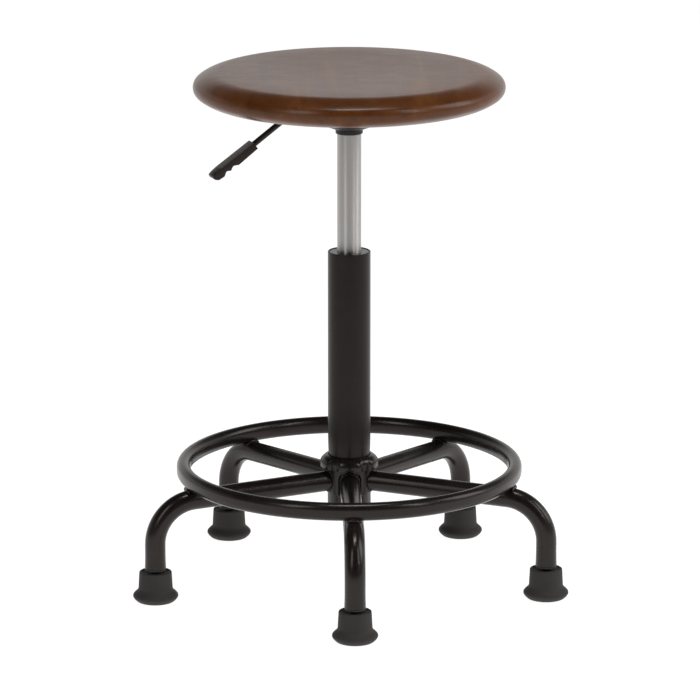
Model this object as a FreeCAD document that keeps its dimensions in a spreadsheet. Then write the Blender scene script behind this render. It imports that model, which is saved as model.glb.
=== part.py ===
import FreeCAD
import Part
import Sketcher
import math
import os

# Round stool on a gas lift: wooden seat, pressed seat plate with a release lever, pressure tube
# sliding in a black column, moulded hub cover, five bent tube legs, foot ring and swivel glides.
# The origin is on the column's axis at the floor, +Z is up and the front leg points along -Y.

os.makedirs("parts", exist_ok=True)
document = FreeCAD.newDocument("machinist_stool")

# Driving dimensions in millimetres, degrees where the name ends in angle.
DRIVING_SIZES = [
    # Seat
    ("seat_diameter", 362.0), ("seat_bottom", 578.7), ("seat_thickness", 34.6),
    ("seat_edge_depth", 30.0), ("seat_nose_radius", 11.0),
    ("seat_dish_radius", 128.0), ("seat_dish_depth", 1.6),
    # Seat plate, its bowl and the tapered socket
    ("plate_width", 150.0), ("plate_corner", 14.0), ("plate_gauge", 2.4),
    ("bowl_bottom", 545.5), ("bowl_turn", 549.4), ("bowl_turn_radius", 22.0), ("bowl_knee", 552.6),
    ("bowl_knee_radius", 34.0), ("bowl_rim_radius", 37.5), ("bowl_lip_radius", 42.0),
    ("lever_slot_width", 9.5), ("lever_slot_bottom", 559.5),
    ("socket_bottom", 541.0), ("socket_top", 560.0), ("socket_radius", 15.9),
    ("screw_spacing", 114.0), ("screw_shank", 2.5), ("screw_length", 20.0), ("screw_head", 5.6),
    ("screw_head_flat", 4.2), ("screw_head_depth", 2.8), ("screw_count", 4.0),
    ("washer_radius", 7.0), ("washer_gauge", 1.2), ("screw_hole", 3.1),
    # Lever
    ("lever_height", 565.5), ("lever_rod_radius", 3.4), ("lever_inner_end", 4.0), ("lever_corner", 77.1),
    ("lever_bend_radius", 25.0), ("lever_droop_angle", 35.0), ("lever_run", 75.0), ("lever_angle", 200.0),
    ("pivot_radius", 26.0), ("pivot_height", 558.4), ("pivot_pin_radius", 2.5), ("barrel_radius", 4.3),
    ("barrel_width", 10.0), ("ear_gauge", 2.0), ("ear_gap", 0.4), ("ear_radius", 5.0),
    ("pin_overhang", 0.8),
    ("handle_start", 50.5), ("handle_length", 62.0), ("handle_width", 16.0), ("handle_thickness", 8.6),
    ("handle_edge", 1.1), ("notch_depth", 2.2), ("handle_nose", 3.4),
    # Gas spring
    ("tube_radius", 14.0), ("tube_wall", 1.5), ("tube_bottom", 262.0), ("tube_top", 558.0),
    ("tube_taper_bottom", 541.5), ("tube_top_radius", 13.3), ("cylinder_radius", 10.9),
    ("cylinder_bore", 10.05), ("cylinder_bottom", 285.0), ("cylinder_top", 531.0),
    ("piston_radius", 10.0), ("piston_bottom", 292.0), ("piston_height", 12.0),
    ("rod_radius", 5.0), ("rod_bottom", 89.0), ("rod_nose_radius", 3.5), ("guide_top", 280.0),
    ("pin_radius", 3.0), ("pin_top", 561.95), ("pin_bottom", 546.0), ("running_gap", 0.05),
    ("push_gap", 0.02), ("rod_clearance", 0.3), ("tube_end_opening", 7.5), ("valve_opening", 6.0),
    ("clip_gauge", 1.2), ("clip_radius", 8.0), ("clip_drop", 3.0), ("rod_washer_radius", 10.0),
    ("ring_groove", 1.5), ("rod_nut", 2.0), ("edge_break", 0.8),
    # Column with its bush and the bearing at its foot
    ("column_radius", 25.0), ("column_wall", 1.8), ("column_top", 401.0), ("column_bottom", 95.0),
    ("column_neck_top", 172.0), ("column_neck", 154.0), ("column_neck_radius", 24.15),
    ("column_foot_radius", 23.2), ("bush_bottom", 292.0), ("bush_radius", 17.0), ("bush_rib", 2.4),
    ("bush_collar", 6.0), ("bush_sink", 0.6), ("bush_rib_count", 6.0), ("bush_rib_gap", 0.2),
    ("foot_plate_gauge", 5.0), ("race_radius", 13.0), ("race_gauge", 2.0), ("ball_radius", 2.5),
    ("ball_circle", 8.8), ("ball_count", 10.0), ("cage_radius", 12.4), ("cage_gauge", 2.2),
    ("bumper_radius", 11.0), ("bumper_height", 16.0),
    # Hub
    ("hub_radius", 25.5), ("hub_bottom", 97.0), ("hub_top", 149.0), ("cover_radius", 28.8),
    ("cover_gap", 0.4), ("cover_bottom", 111.0), ("cover_top", 153.0), ("cover_lip_radius", 25.2),
    ("cover_shoulder", 4.5), ("hood_radius", 35.0), ("hood_bottom", 139.0), ("hood_width", 30.0),
    ("hood_top_width", 15.0), ("window_width", 27.2), ("window_top", 142.0),
    ("hood_drop", 0.6), ("hood_curve", -0.36), ("hood_slope", 0.72),
    # Legs, foot ring and weld beads
    ("leg_radius", 12.0), ("leg_wall", 1.5), ("leg_height", 118.5), ("leg_bend_radius", 50.0),
    ("leg_cope", 4.0), ("hub_bead", 1.4), ("hub_bead_reach", 6.0), ("bead_overlap", 0.6), ("bead_inset", 2.2),
    ("outer_bead_drop", 0.9),
    ("foot_circle", 240.0), ("leg_end", 39.5), ("front_leg_angle", -90.0), ("leg_count", 5.0),
    ("ring_radius", 195.0), ("ring_height", 140.2), ("ring_width", 16.0), ("ring_depth", 21.0),
    ("ring_wall", 1.5), ("bead_radius", 2.6), ("ring_bead_length", 17.0),
    # Glides
    ("insert_flange", 12.6), ("insert_flange_gauge", 2.0), ("insert_top", 62.0), ("stem_radius", 5.5),
    ("stem_bottom", 16.0), ("stem_top", 60.0), ("stem_head", 7.5), ("stem_head_gauge", 2.5),
    ("stem_chamfer", 1.5), ("glide_height", 36.0), ("glide_edge", 1.4), ("glide_roll", 3.8),
    ("glide_roll_inset", 2.2),
    ("glide_rim_radius", 18.9), ("glide_waist_radius", 19.8), ("glide_waist", 14.2),
    ("glide_flange_radius", 26.6), ("glide_flange", 6.4), ("glide_foot_radius", 21.0),
]


class Size:
    # A sheet value, or a sum worked out from sheet values: its expression text and its number.
    def __init__(self, text, value):
        self.text = text
        self.value = value

    def joined(self, other, sign, value):
        return Size("(" + self.text + sign + expression(other) + ")", value)

    def __add__(self, other):
        return self.joined(other, " + ", self.value + number(other))

    def __sub__(self, other):
        return self.joined(other, " - ", self.value - number(other))

    def __mul__(self, other):
        return self.joined(other, " * ", self.value * number(other))

    def __truediv__(self, other):
        return self.joined(other, " / ", self.value / number(other))

    def __radd__(self, other):
        return Size(str(float(other)), other) + self

    def __rsub__(self, other):
        return Size(str(float(other)), other) - self

    def __rmul__(self, other):
        return Size(str(float(other)), other) * self

    def __rtruediv__(self, other):
        return Size(str(float(other)), other) / self

    def __neg__(self):
        return 0 - self


def expression(value):
    return value.text if isinstance(value, Size) else str(float(value))


def number(value):
    return value.value if isinstance(value, Size) else value


def sine(angle):
    return Size("sin(" + expression(angle) + ")", math.sin(math.radians(number(angle))))


def cosine(angle):
    return Size("cos(" + expression(angle) + ")", math.cos(math.radians(number(angle))))


def tangent(angle):
    return Size("tan(" + expression(angle) + ")", math.tan(math.radians(number(angle))))


def slope_angle(rise, run):
    text = "(atan(" + expression(rise) + " / " + expression(run) + ") / 1deg)"
    return Size(text, math.degrees(math.atan(number(rise) / number(run))))


class SizeSheet:
    # The spreadsheet, with each driving size as an attribute of the same name.
    def __init__(self, rows):
        sheet = document.addObject("Spreadsheet::Sheet", "Sizes")
        for index, (alias, value) in enumerate(rows, start=1):
            sheet.set("A" + str(index), alias)
            sheet.set("B" + str(index), str(value))
            sheet.setAlias("B" + str(index), alias)
            setattr(self, alias, Size("Sizes." + alias, value))


size = SizeSheet(DRIVING_SIZES)
document.recompute()

NODES = []
VERTICAL = FreeCAD.Vector(0, 0, 1)
QUARTER = math.tan(math.radians(90) / 4)
HALF_TURN = 1.0


def bind(thing, name, value):
    # Set one property of an object from the sheet.
    thing.setExpression(name, expression(value))


def node(thing, label):
    # Mark an object as one of the stool's pieces.
    thing.Label = label
    NODES.append(thing)
    return thing


def arc_centre(start, end, bulge):
    # Centre of the arc from start to end; bulge is the tangent of a quarter of its turn.
    across = end[0] - start[0]
    along = end[1] - start[1]
    reach = (1 - bulge * bulge) / (bulge * 4)
    return ((start[0] + end[0]) / 2 - along * reach, (start[1] + end[1]) / 2 + across * reach)


def as_size(value):
    return value if isinstance(value, Size) else Size(str(float(value)), float(value))


def pin_vertex(sketch, index, end, x, y):
    # Hold one end of a sketch edge at a place worked out from the sheet.
    for kind, value, axis in (("DistanceX", x, -2), ("DistanceY", y, -1)):
        if isinstance(value, Size):
            held = sketch.addConstraint(Sketcher.Constraint(kind, -1, 1, index, end, value.value))
            sketch.setExpression("Constraints[" + str(held) + "]", value.text)
        elif value == 0:
            sketch.addConstraint(Sketcher.Constraint("PointOnObject", index, end, axis))
        else:
            sketch.addConstraint(Sketcher.Constraint(kind, -1, 1, index, end, float(value)))


def draw(sketch, path, closed=True):
    # Draw a path of (x, y) and (x, y, bulge) vertices; a bulge bends the run that ends there.
    first = 0 if closed else 1
    edges = []
    for position in range(first, len(path)):
        start = path[position - 1]
        end = path[position]
        x0, y0, x1, y1 = (number(value) for value in start[:2] + end[:2])
        if len(end) == 2:
            line = Part.LineSegment(FreeCAD.Vector(x0, y0, 0), FreeCAD.Vector(x1, y1, 0))
            edges.append((sketch.addGeometry(line), 1, 2, start, end))
            continue
        a = (as_size(start[0]), as_size(start[1]))
        b = (as_size(end[0]), as_size(end[1]))
        centre = arc_centre(a, b, as_size(end[2]))
        cx, cy = centre[0].value, centre[1].value
        from_angle = math.atan2(y0 - cy, x0 - cx)
        to_angle = math.atan2(y1 - cy, x1 - cx)
        turns_left = number(end[2]) > 0
        if not turns_left:
            from_angle, to_angle = to_angle, from_angle
        if to_angle < from_angle:
            to_angle += 2 * math.pi
        circle = Part.Circle(FreeCAD.Vector(cx, cy, 0), VERTICAL, math.hypot(x0 - cx, y0 - cy))
        index = sketch.addGeometry(Part.ArcOfCircle(circle, from_angle, to_angle))
        edges.append((index, 1, 2, start, end) if turns_left else (index, 2, 1, start, end))
        flat_chord = abs(x1 - x0) > abs(y1 - y0)
        pin = ("DistanceY", centre[1]) if flat_chord else ("DistanceX", centre[0])
        held = sketch.addConstraint(Sketcher.Constraint(pin[0], -1, 1, index, 3, pin[1].value))
        sketch.setExpression("Constraints[" + str(held) + "]", pin[1].text)
    for position, (index, head, tail, start, end) in enumerate(edges):
        pin_vertex(sketch, index, tail, end[0], end[1])
        if closed or position + 1 < len(edges):
            following = edges[(position + 1) % len(edges)]
            sketch.addConstraint(Sketcher.Constraint("Coincident", index, tail, following[0], following[1]))
    if not closed:
        pin_vertex(sketch, edges[0][0], edges[0][1], path[0][0], path[0][1])


def draw_circle(sketch, x, y, radius):
    # A circle held by its centre and radius.
    centre = FreeCAD.Vector(number(x), number(y), 0)
    index = sketch.addGeometry(Part.Circle(centre, VERTICAL, radius.value))
    pin_vertex(sketch, index, 3, x, y)
    held = sketch.addConstraint(Sketcher.Constraint("Radius", index, radius.value))
    sketch.setExpression("Constraints[" + str(held) + "]", radius.text)


def lift(sketch, level):
    # Move a sketch along its plane's normal.
    sketch.AttachmentOffset = FreeCAD.Placement(FreeCAD.Vector(0, 0, level.value), FreeCAD.Rotation())
    bind(sketch, "AttachmentOffset.Base.z", level)


def new_body(label):
    body = document.addObject("PartDesign::Body", "Body_" + label)
    body.AllowCompound = True
    return body


def sketch_on(body, role, name):
    # A sketch on one of the body's own origin planes.
    sketch = body.newObject("Sketcher::SketchObject", name)
    plane = [feature for feature in body.Origin.OriginFeatures if feature.Role == role][0]
    sketch.AttachmentSupport = (plane, "")
    sketch.MapMode = "FlatFace"
    return sketch


def revolve(body, path, name="Turned", kind="PartDesign::Revolution"):
    # Turn or groove an outline of (radius, height) vertices about the body's upright axis.
    sketch = sketch_on(body, "XZ_Plane", name + "Outline")
    draw(sketch, path)
    feature = body.newObject(kind, name)
    feature.Profile = sketch
    feature.ReferenceAxis = (sketch, ["V_Axis"])
    feature.Angle = 360
    body.Tip = feature
    return feature


def extrude(body, role, path, length, name, kind="PartDesign::Pad", level=None, both_ways=False):
    # Pad or pocket an outline drawn on an origin plane, or level above it, along the plane's normal.
    sketch = sketch_on(body, role, name + "Outline")
    if level is not None:
        lift(sketch, level)
    draw(sketch, path)
    return prism(body, sketch, length, name, kind, both_ways)


def prism(body, sketch, length, name, kind, both_ways=False):
    feature = body.newObject(kind, name)
    feature.Profile = sketch
    bind(feature, "Length", length)
    feature.Midplane = both_ways
    feature.Reversed = kind == "PartDesign::Pocket" and not both_ways
    body.Tip = feature
    return feature


def repeat_round(body, features, count, name):
    # Repeat features evenly about the upright axis.
    pattern = body.newObject("PartDesign::PolarPattern", name)
    pattern.Originals = features
    axis = [feature for feature in body.Origin.OriginFeatures if feature.Role == "Z_Axis"][0]
    pattern.Axis = (axis, [""])
    pattern.Angle = 360
    bind(pattern, "Occurrences", count)
    body.Tip = pattern
    return pattern


def turned_piece(label, path):
    body = new_body(label)
    revolve(body, path)
    return node(body, label)


def ring_outline(inner, outer, low, high):
    return [(inner, low), (outer, low), (outer, high), (inner, high)]


def leg_angle(index):
    return size.front_leg_angle + 360 / size.leg_count * index


def turn_upright(thing, angle):
    thing.Placement = FreeCAD.Placement(FreeCAD.Vector(), FreeCAD.Rotation(VERTICAL, number(angle)))


def stand_on_foot_circle(thing, index):
    angle = leg_angle(index)
    thing.Placement = FreeCAD.Placement(FreeCAD.Vector(), FreeCAD.Rotation(VERTICAL, angle.value))
    bind(thing, "Placement.Base.x", size.foot_circle * cosine(angle))
    bind(thing, "Placement.Base.y", size.foot_circle * sine(angle))


def part_object(kind, name, placed=None, **bound):
    # A Part primitive with its properties bound to the sheet.
    thing = document.addObject(kind, name)
    if placed is not None:
        thing.Placement = placed
    for key, value in bound.items():
        bind(thing, key, value)
    return thing


def fused(name, pieces):
    joined = document.addObject("Part::MultiFuse", name)
    joined.Shapes = pieces
    return joined


def cut(name, base, tool):
    result = document.addObject("Part::Cut", name)
    result.Base = base
    result.Tool = tool
    return result


# Seat

def seat_outline():
    # Half section: flat underside, two-radius rounded edge and a shallow dish in the top.
    radius = size.seat_diameter / 2
    half = size.seat_thickness / 2
    middle = size.seat_bottom + half
    top = size.seat_bottom + size.seat_thickness
    nose = size.seat_nose_radius
    flat = radius - size.seat_edge_depth
    inset = size.seat_edge_depth - nose
    shoulder = (inset * inset + half * half - nose * nose) / ((half - nose) * 2)
    rise = shoulder - half
    reach = nose / (shoulder - nose)
    join_radius = radius - nose + inset * reach
    shoulder_turn = slope_angle(inset, rise)
    shoulder_bulge = tangent(shoulder_turn / 4)
    nose_bulge = tangent((90 - shoulder_turn) / 2)
    dish_bulge = tangent(slope_angle(size.seat_dish_depth, size.seat_dish_radius) / 2)
    return [
        (0, size.seat_bottom),
        (flat, size.seat_bottom),
        (join_radius, middle - rise * reach, shoulder_bulge),
        (join_radius, middle + rise * reach, nose_bulge),
        (flat, top, shoulder_bulge),
        (size.seat_dish_radius, top),
        (0, top - size.seat_dish_depth, -dish_bulge),
    ]


def screw_pockets(body, radius, low, length):
    # Four upright round holes on the screw square.
    half = size.screw_spacing / 2
    sketch = sketch_on(body, "XY_Plane", "ScrewHoleOutline")
    lift(sketch, low)
    draw_circle(sketch, half, half, radius)
    pocket = prism(body, sketch, length, "ScrewHole", "PartDesign::Pocket")
    repeat_round(body, [pocket], size.screw_count, "ScrewHoles")


def make_seat():
    body = new_body("seat")
    revolve(body, seat_outline())
    grip = size.screw_length - size.plate_gauge
    screw_pockets(body, size.screw_shank + size.running_gap, size.seat_bottom - 1, grip + 2)
    turn_upright(body, size.lever_angle)
    node(body, "seat")


# Seat plate, socket, screws and lever pivot

def rounded_square(width, corner):
    half = width / 2
    flat = half - corner
    return [
        (half, flat), (flat, half, QUARTER), (-flat, half), (-half, flat, QUARTER),
        (-half, -flat), (-flat, -half, QUARTER), (flat, -half), (half, -flat, QUARTER),
    ]


def rectangle(x0, x1, y0, y1):
    return [(x0, y0), (x1, y0), (x1, y1), (x0, y1)]


def bowl_cavity():
    # Half section of the space inside the bowl.
    gauge = size.plate_gauge
    flange = size.seat_bottom - gauge
    return [
        (0, size.bowl_bottom + gauge),
        (size.socket_radius + 1, size.bowl_bottom + gauge),
        (size.bowl_turn_radius - gauge / 3, size.bowl_turn + gauge),
        (size.bowl_knee_radius - gauge, size.bowl_knee + gauge),
        (size.bowl_rim_radius - gauge, flange - 3),
        (size.bowl_lip_radius - gauge, size.seat_bottom),
        (0, size.seat_bottom),
    ]


def make_seat_plate():
    # One pressing: a square flange screwed to the seat and a bowl with a slot for the lever.
    gauge = size.plate_gauge
    flange = size.seat_bottom - gauge
    body = new_body("seat_plate")
    outline = rounded_square(size.plate_width, size.plate_corner)
    extrude(body, "XY_Plane", outline, gauge, "Flange", level=flange)
    revolve(body, [
        (0, size.bowl_bottom),
        (size.socket_radius + 1, size.bowl_bottom),
        (size.bowl_turn_radius, size.bowl_turn),
        (size.bowl_knee_radius, size.bowl_knee),
        (size.bowl_rim_radius, flange - 4),
        (size.bowl_lip_radius, flange),
        (size.bowl_lip_radius, size.seat_bottom),
        (0, size.seat_bottom),
    ], "Bowl")
    revolve(body, bowl_cavity(), "BowlCavity", "PartDesign::Groove")
    revolve(body, ring_outline(0, size.socket_radius, size.bowl_bottom - 1, size.bowl_bottom + gauge + 1),
            "SocketHole", "PartDesign::Groove")
    half_slot = size.lever_slot_width / 2
    slot = rectangle(-half_slot, half_slot, size.lever_slot_bottom, flange)
    extrude(body, "YZ_Plane", slot, size.bowl_lip_radius + 1, "LeverSlot", "PartDesign::Pocket")
    screw_pockets(body, size.screw_hole, flange - 1, gauge + 2)
    turn_upright(body, size.lever_angle)
    node(body, "seat_plate")


def make_taper_socket():
    foot = size.tube_radius + size.push_gap
    neck = size.tube_top_radius + size.push_gap
    turned_piece("taper_socket", [
        (foot, size.socket_bottom),
        (size.socket_radius, size.socket_bottom),
        (size.socket_radius, size.socket_top),
        (neck, size.socket_top),
        (neck, size.tube_top),
        (foot, size.tube_taper_bottom),
    ])


def make_screws():
    # Pan-head wood screws and plain washers, four of each on the screw square.
    screws = []
    washers = []
    flange = size.seat_bottom - size.plate_gauge
    under_washer = flange - size.washer_gauge
    head_bottom = under_washer - size.screw_head_depth
    count = int(size.screw_count.value)
    reach = size.screw_spacing.value / math.sqrt(2)
    for corner in range(count):
        turn = size.lever_angle.value + 360 / count * (corner + 0.5)
        x = reach * math.cos(math.radians(turn))
        y = reach * math.sin(math.radians(turn))
        shank = part_object("Part::Cylinder", "Shank", Radius=size.screw_shank, Height=size.screw_length)
        shank.Placement.Base = FreeCAD.Vector(x, y, under_washer.value)
        bind(shank, "Placement.Base.z", under_washer)
        head = part_object("Part::Cone", "Head", Radius1=size.screw_head_flat, Radius2=size.screw_head,
                           Height=size.screw_head_depth)
        head.Placement.Base = FreeCAD.Vector(x, y, head_bottom.value)
        bind(head, "Placement.Base.z", head_bottom)
        screws.append(fused("Screw", [shank, head]))
        disc = part_object("Part::Cylinder", "Disc", Radius=size.washer_radius, Height=size.washer_gauge)
        hole = part_object("Part::Cylinder", "Hole", Radius=size.screw_shank + size.running_gap,
                           Height=size.washer_gauge)
        for piece in (disc, hole):
            piece.Placement.Base = FreeCAD.Vector(x, y, under_washer.value)
            bind(piece, "Placement.Base.z", under_washer)
        washers.append(cut("Washer", disc, hole))
    node(fused("Screws", screws), "seat_screws")
    node(fused("Washers", washers), "screw_washers")


def make_pivot():
    # Two ears standing in the bowl beside the barrel, and the pin through them.
    outer = size.barrel_width / 2 + size.ear_gap + size.ear_gauge
    ears = new_body("pivot_ears")
    tall = size.ear_radius
    outline = [
        (size.pivot_radius + tall, size.pivot_height),
        (size.pivot_radius - tall, size.pivot_height, HALF_TURN),
        (size.pivot_radius - tall, size.bowl_bottom),
        (size.pivot_radius + tall, size.bowl_bottom),
    ]
    extrude(ears, "XZ_Plane", outline, outer * 2, "Ears", both_ways=True)
    gap = rectangle(0, size.bowl_rim_radius, size.bowl_bottom - 1, size.seat_bottom)
    extrude(ears, "XZ_Plane", gap, size.barrel_width + size.ear_gap * 2, "BarrelGap",
            "PartDesign::Pocket", both_ways=True)
    cavity = new_body("bowl_space")
    revolve(cavity, bowl_cavity())
    seated = document.addObject("Part::Common", "SeatedEars")
    seated.Base = ears
    seated.Tool = cavity
    pins = []
    for name in ("pivot_pin", "pivot_bore"):
        pin = new_body(name)
        section = sketch_on(pin, "XZ_Plane", "PinSection")
        draw_circle(section, size.pivot_radius, size.pivot_height, size.pivot_pin_radius)
        prism(pin, section, (outer + size.pin_overhang) * 2, "Pin", "PartDesign::Pad", both_ways=True)
        pins.append(pin)
    bracket = cut("Bracket", seated, pins[1])
    turn_upright(bracket, size.lever_angle)
    node(bracket, "pivot_bracket")
    turn_upright(pins[0], size.lever_angle)
    node(pins[0], "pivot_pin")


# Lever

def make_lever():
    # Bent rod with a barrel welded under it, in the upright plane through the lever's angle.
    body = new_body("lever_rod")
    droop = size.lever_droop_angle
    corner = size.lever_corner
    height = size.lever_height
    step = size.lever_bend_radius * tangent(droop / 2)
    path = sketch_on(body, "XZ_Plane", "RodPath")
    draw(path, [
        (-size.lever_inner_end, height),
        (corner - step, height),
        (corner + step * cosine(droop), height - step * sine(droop), -tangent(droop / 4)),
        (corner + size.lever_run * cosine(droop), height - size.lever_run * sine(droop)),
    ], closed=False)
    section = sketch_on(body, "YZ_Plane", "RodSection")
    lift(section, -size.lever_inner_end)
    draw_circle(section, 0, height, size.lever_rod_radius)
    rod = body.newObject("PartDesign::AdditivePipe", "Rod")
    rod.Profile = section
    rod.Spine = (path, ["Edge1", "Edge2", "Edge3"])
    body.Tip = rod
    side = size.barrel_radius
    outline = [
        (size.pivot_radius + side, height - 1),
        (size.pivot_radius - side, height - 1),
        (size.pivot_radius - side, size.pivot_height),
        (size.pivot_radius + side, size.pivot_height, HALF_TURN),
    ]
    extrude(body, "XZ_Plane", outline, size.barrel_width, "Barrel", both_ways=True)
    bore = sketch_on(body, "XZ_Plane", "BarrelBore")
    draw_circle(bore, size.pivot_radius, size.pivot_height, size.pivot_pin_radius + size.running_gap)
    prism(body, bore, size.barrel_width + 2, "PinHole", "PartDesign::Pocket", both_ways=True)
    turn_upright(body, size.lever_angle)
    node(body, "lever_rod")
    make_handle()


def make_handle():
    # Moulded grip: straight back, finger notches underneath towards the rounded end.
    body = new_body("lever_handle")
    half = size.handle_thickness / 2
    end = size.handle_length
    notch = size.notch_depth - half
    extrude(body, "XZ_Plane", [
        (0, -half), (end * 0.46, -half - size.edge_break), (end * 0.57, notch), (end * 0.65, -half),
        (end * 0.73, notch), (end * 0.81, -half - size.edge_break), (end * 0.94, -half),
        (end, size.handle_nose - half), (end, half - size.edge_break),
        (end * 0.87, half + size.edge_break), (0, half),
    ], size.handle_width, "Grip", both_ways=True)
    document.recompute()
    grip = body.Tip
    sides = [
        "Face" + str(index) for index, face in enumerate(grip.Shape.Faces, start=1)
        if abs(abs(face.CenterOfMass.y) - size.handle_width.value / 2) < 0.01
    ]
    chamfer = body.newObject("PartDesign::Chamfer", "SoftEdges")
    chamfer.Base = (grip, sides)
    bind(chamfer, "Size", size.handle_edge)
    body.Tip = chamfer
    bore = sketch_on(body, "YZ_Plane", "RodBore")
    draw_circle(bore, 0, 0, size.lever_rod_radius)
    prism(body, bore, size.lever_run - size.handle_start, "RodHole", "PartDesign::Pocket")
    droop = size.lever_droop_angle
    lean = FreeCAD.Rotation(FreeCAD.Vector(0, 1, 0), droop.value)
    turn = FreeCAD.Rotation(VERTICAL, size.lever_angle.value)
    reach = size.lever_corner + size.handle_start * cosine(droop)
    body.Placement = FreeCAD.Placement(FreeCAD.Vector(), turn.multiply(lean))
    bind(body, "Placement.Base.x", reach * cosine(size.lever_angle))
    bind(body, "Placement.Base.y", reach * sine(size.lever_angle))
    bind(body, "Placement.Base.z", size.lever_height - size.handle_start * sine(droop))
    node(body, "lever_handle")


# Gas spring

def make_gas_spring():
    gap = size.running_gap
    bore = size.tube_radius - size.tube_wall
    lip = size.tube_end_opening
    wall = size.tube_wall
    turned_piece("pressure_tube", [
        (lip, size.tube_bottom),
        (size.tube_radius, size.tube_bottom),
        (size.tube_radius, size.tube_taper_bottom),
        (size.tube_top_radius, size.tube_top),
        (size.valve_opening, size.tube_top),
        (size.valve_opening, size.tube_top - wall),
        (size.tube_top_radius - wall, size.tube_top - wall),
        (bore, size.tube_taper_bottom),
        (bore, size.tube_bottom + wall),
        (lip, size.tube_bottom + wall),
    ])
    turned_piece("rod_guide", ring_outline(size.rod_radius + gap, bore, size.tube_bottom + wall,
                                           size.guide_top))
    turned_piece("rod_seal", ring_outline(size.rod_radius + gap, bore, size.guide_top,
                                          size.cylinder_bottom))
    turned_piece("inner_cylinder", ring_outline(size.cylinder_bore, size.cylinder_radius,
                                                size.cylinder_bottom, size.cylinder_top))
    head = size.tube_top_radius - wall - size.push_gap
    turned_piece("valve_body", ring_outline(size.pin_radius + gap, head, size.cylinder_top,
                                            size.tube_top - wall))
    edge = size.edge_break
    turned_piece("release_pin", [
        (0, size.pin_bottom),
        (size.pin_radius - edge, size.pin_bottom),
        (size.pin_radius, size.pin_bottom + edge),
        (size.pin_radius, size.pin_top - edge),
        (size.pin_radius - edge, size.pin_top),
        (0, size.pin_top),
    ])
    rod_top = size.piston_bottom + size.piston_height + size.rod_nut
    groove = size.column_bottom - size.clip_drop
    groove_top = groove + size.clip_gauge
    turned_piece("piston_rod", [
        (0, size.rod_bottom),
        (size.rod_radius - edge, size.rod_bottom),
        (size.rod_radius, size.rod_bottom + edge),
        (size.rod_radius, groove),
        (size.rod_nose_radius, groove),
        (size.rod_nose_radius, groove_top),
        (size.rod_radius, groove_top),
        (size.rod_radius, size.piston_bottom),
        (size.rod_nose_radius, size.piston_bottom),
        (size.rod_nose_radius, rod_top),
        (0, rod_top),
    ])
    third = size.piston_height / 3
    turned_piece("piston", [
        (size.rod_nose_radius, size.piston_bottom),
        (size.piston_radius, size.piston_bottom),
        (size.piston_radius, size.piston_bottom + third),
        (size.piston_radius - size.ring_groove, size.piston_bottom + third),
        (size.piston_radius - size.ring_groove, size.piston_bottom + third * 2),
        (size.piston_radius, size.piston_bottom + third * 2),
        (size.piston_radius, size.piston_bottom + size.piston_height),
        (size.rod_nose_radius, size.piston_bottom + size.piston_height),
    ])
    turned_piece("retaining_clip", ring_outline(size.rod_nose_radius, size.clip_radius, groove, groove_top))
    turned_piece("rod_washer", ring_outline(size.rod_radius, size.rod_washer_radius, groove_top,
                                            size.column_bottom - gap))


# Column, bush and thrust bearing

def make_column():
    inner = size.column_radius - size.column_wall
    neck = size.column_neck_radius - size.column_wall
    foot = size.column_foot_radius - size.column_wall
    turned_piece("outer_tube", [
        (foot, size.column_bottom),
        (size.column_foot_radius, size.column_bottom),
        (size.column_neck_radius, size.column_neck),
        (size.column_radius, size.column_neck_top),
        (size.column_radius, size.column_top - size.edge_break),
        (size.column_radius - size.edge_break, size.column_top, QUARTER),
        (inner, size.column_top),
        (inner, size.column_neck_top),
        (neck, size.column_neck),
    ])
    plate_top = size.column_bottom + size.foot_plate_gauge
    clear = size.rod_radius + size.rod_clearance
    turned_piece("foot_plate", ring_outline(clear, foot, size.column_bottom, plate_top))
    make_bush(inner)
    lower = plate_top + size.race_gauge
    centre = lower + size.ball_radius + size.running_gap
    upper = centre + size.ball_radius + size.running_gap
    turned_piece("bearing_lower_race", ring_outline(clear, size.race_radius, plate_top, lower))
    turned_piece("bearing_upper_race", ring_outline(size.rod_radius, size.race_radius, upper,
                                                    upper + size.race_gauge))
    make_balls(centre)
    bumper_foot = upper + size.race_gauge
    roll = size.bumper_radius / 5
    turned_piece("rubber_bumper", [
        (size.rod_radius, bumper_foot),
        (size.bumper_radius, bumper_foot),
        (size.bumper_radius, bumper_foot + size.bumper_height - roll),
        (size.bumper_radius - roll, bumper_foot + size.bumper_height, QUARTER),
        (size.rod_radius, bumper_foot + size.bumper_height),
    ])


def make_bush(inner):
    # Moulded guide: a thin sleeve round the pressure tube, ribs and a closed ring at the top.
    body = new_body("guide_bush")
    bore = size.tube_radius + size.running_gap
    top = size.column_top - size.bush_sink
    collar = top - size.bush_collar
    edge = size.edge_break
    revolve(body, [
        (bore, size.bush_bottom),
        (size.bush_radius, size.bush_bottom),
        (size.bush_radius, collar),
        (inner, collar),
        (inner, top - edge),
        (inner - edge, top),
        (bore + edge, top),
        (bore, top - edge),
    ], "Sleeve")
    half_rib = size.bush_rib / 2
    rib = extrude(body, "XY_Plane",
                  rectangle(size.bush_radius - edge, inner - size.bush_rib_gap, -half_rib, half_rib),
                  top - edge * 2 - size.bush_bottom, "Rib", level=size.bush_bottom)
    repeat_round(body, [rib], size.bush_rib_count, "Ribs")
    node(body, "guide_bush")


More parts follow.
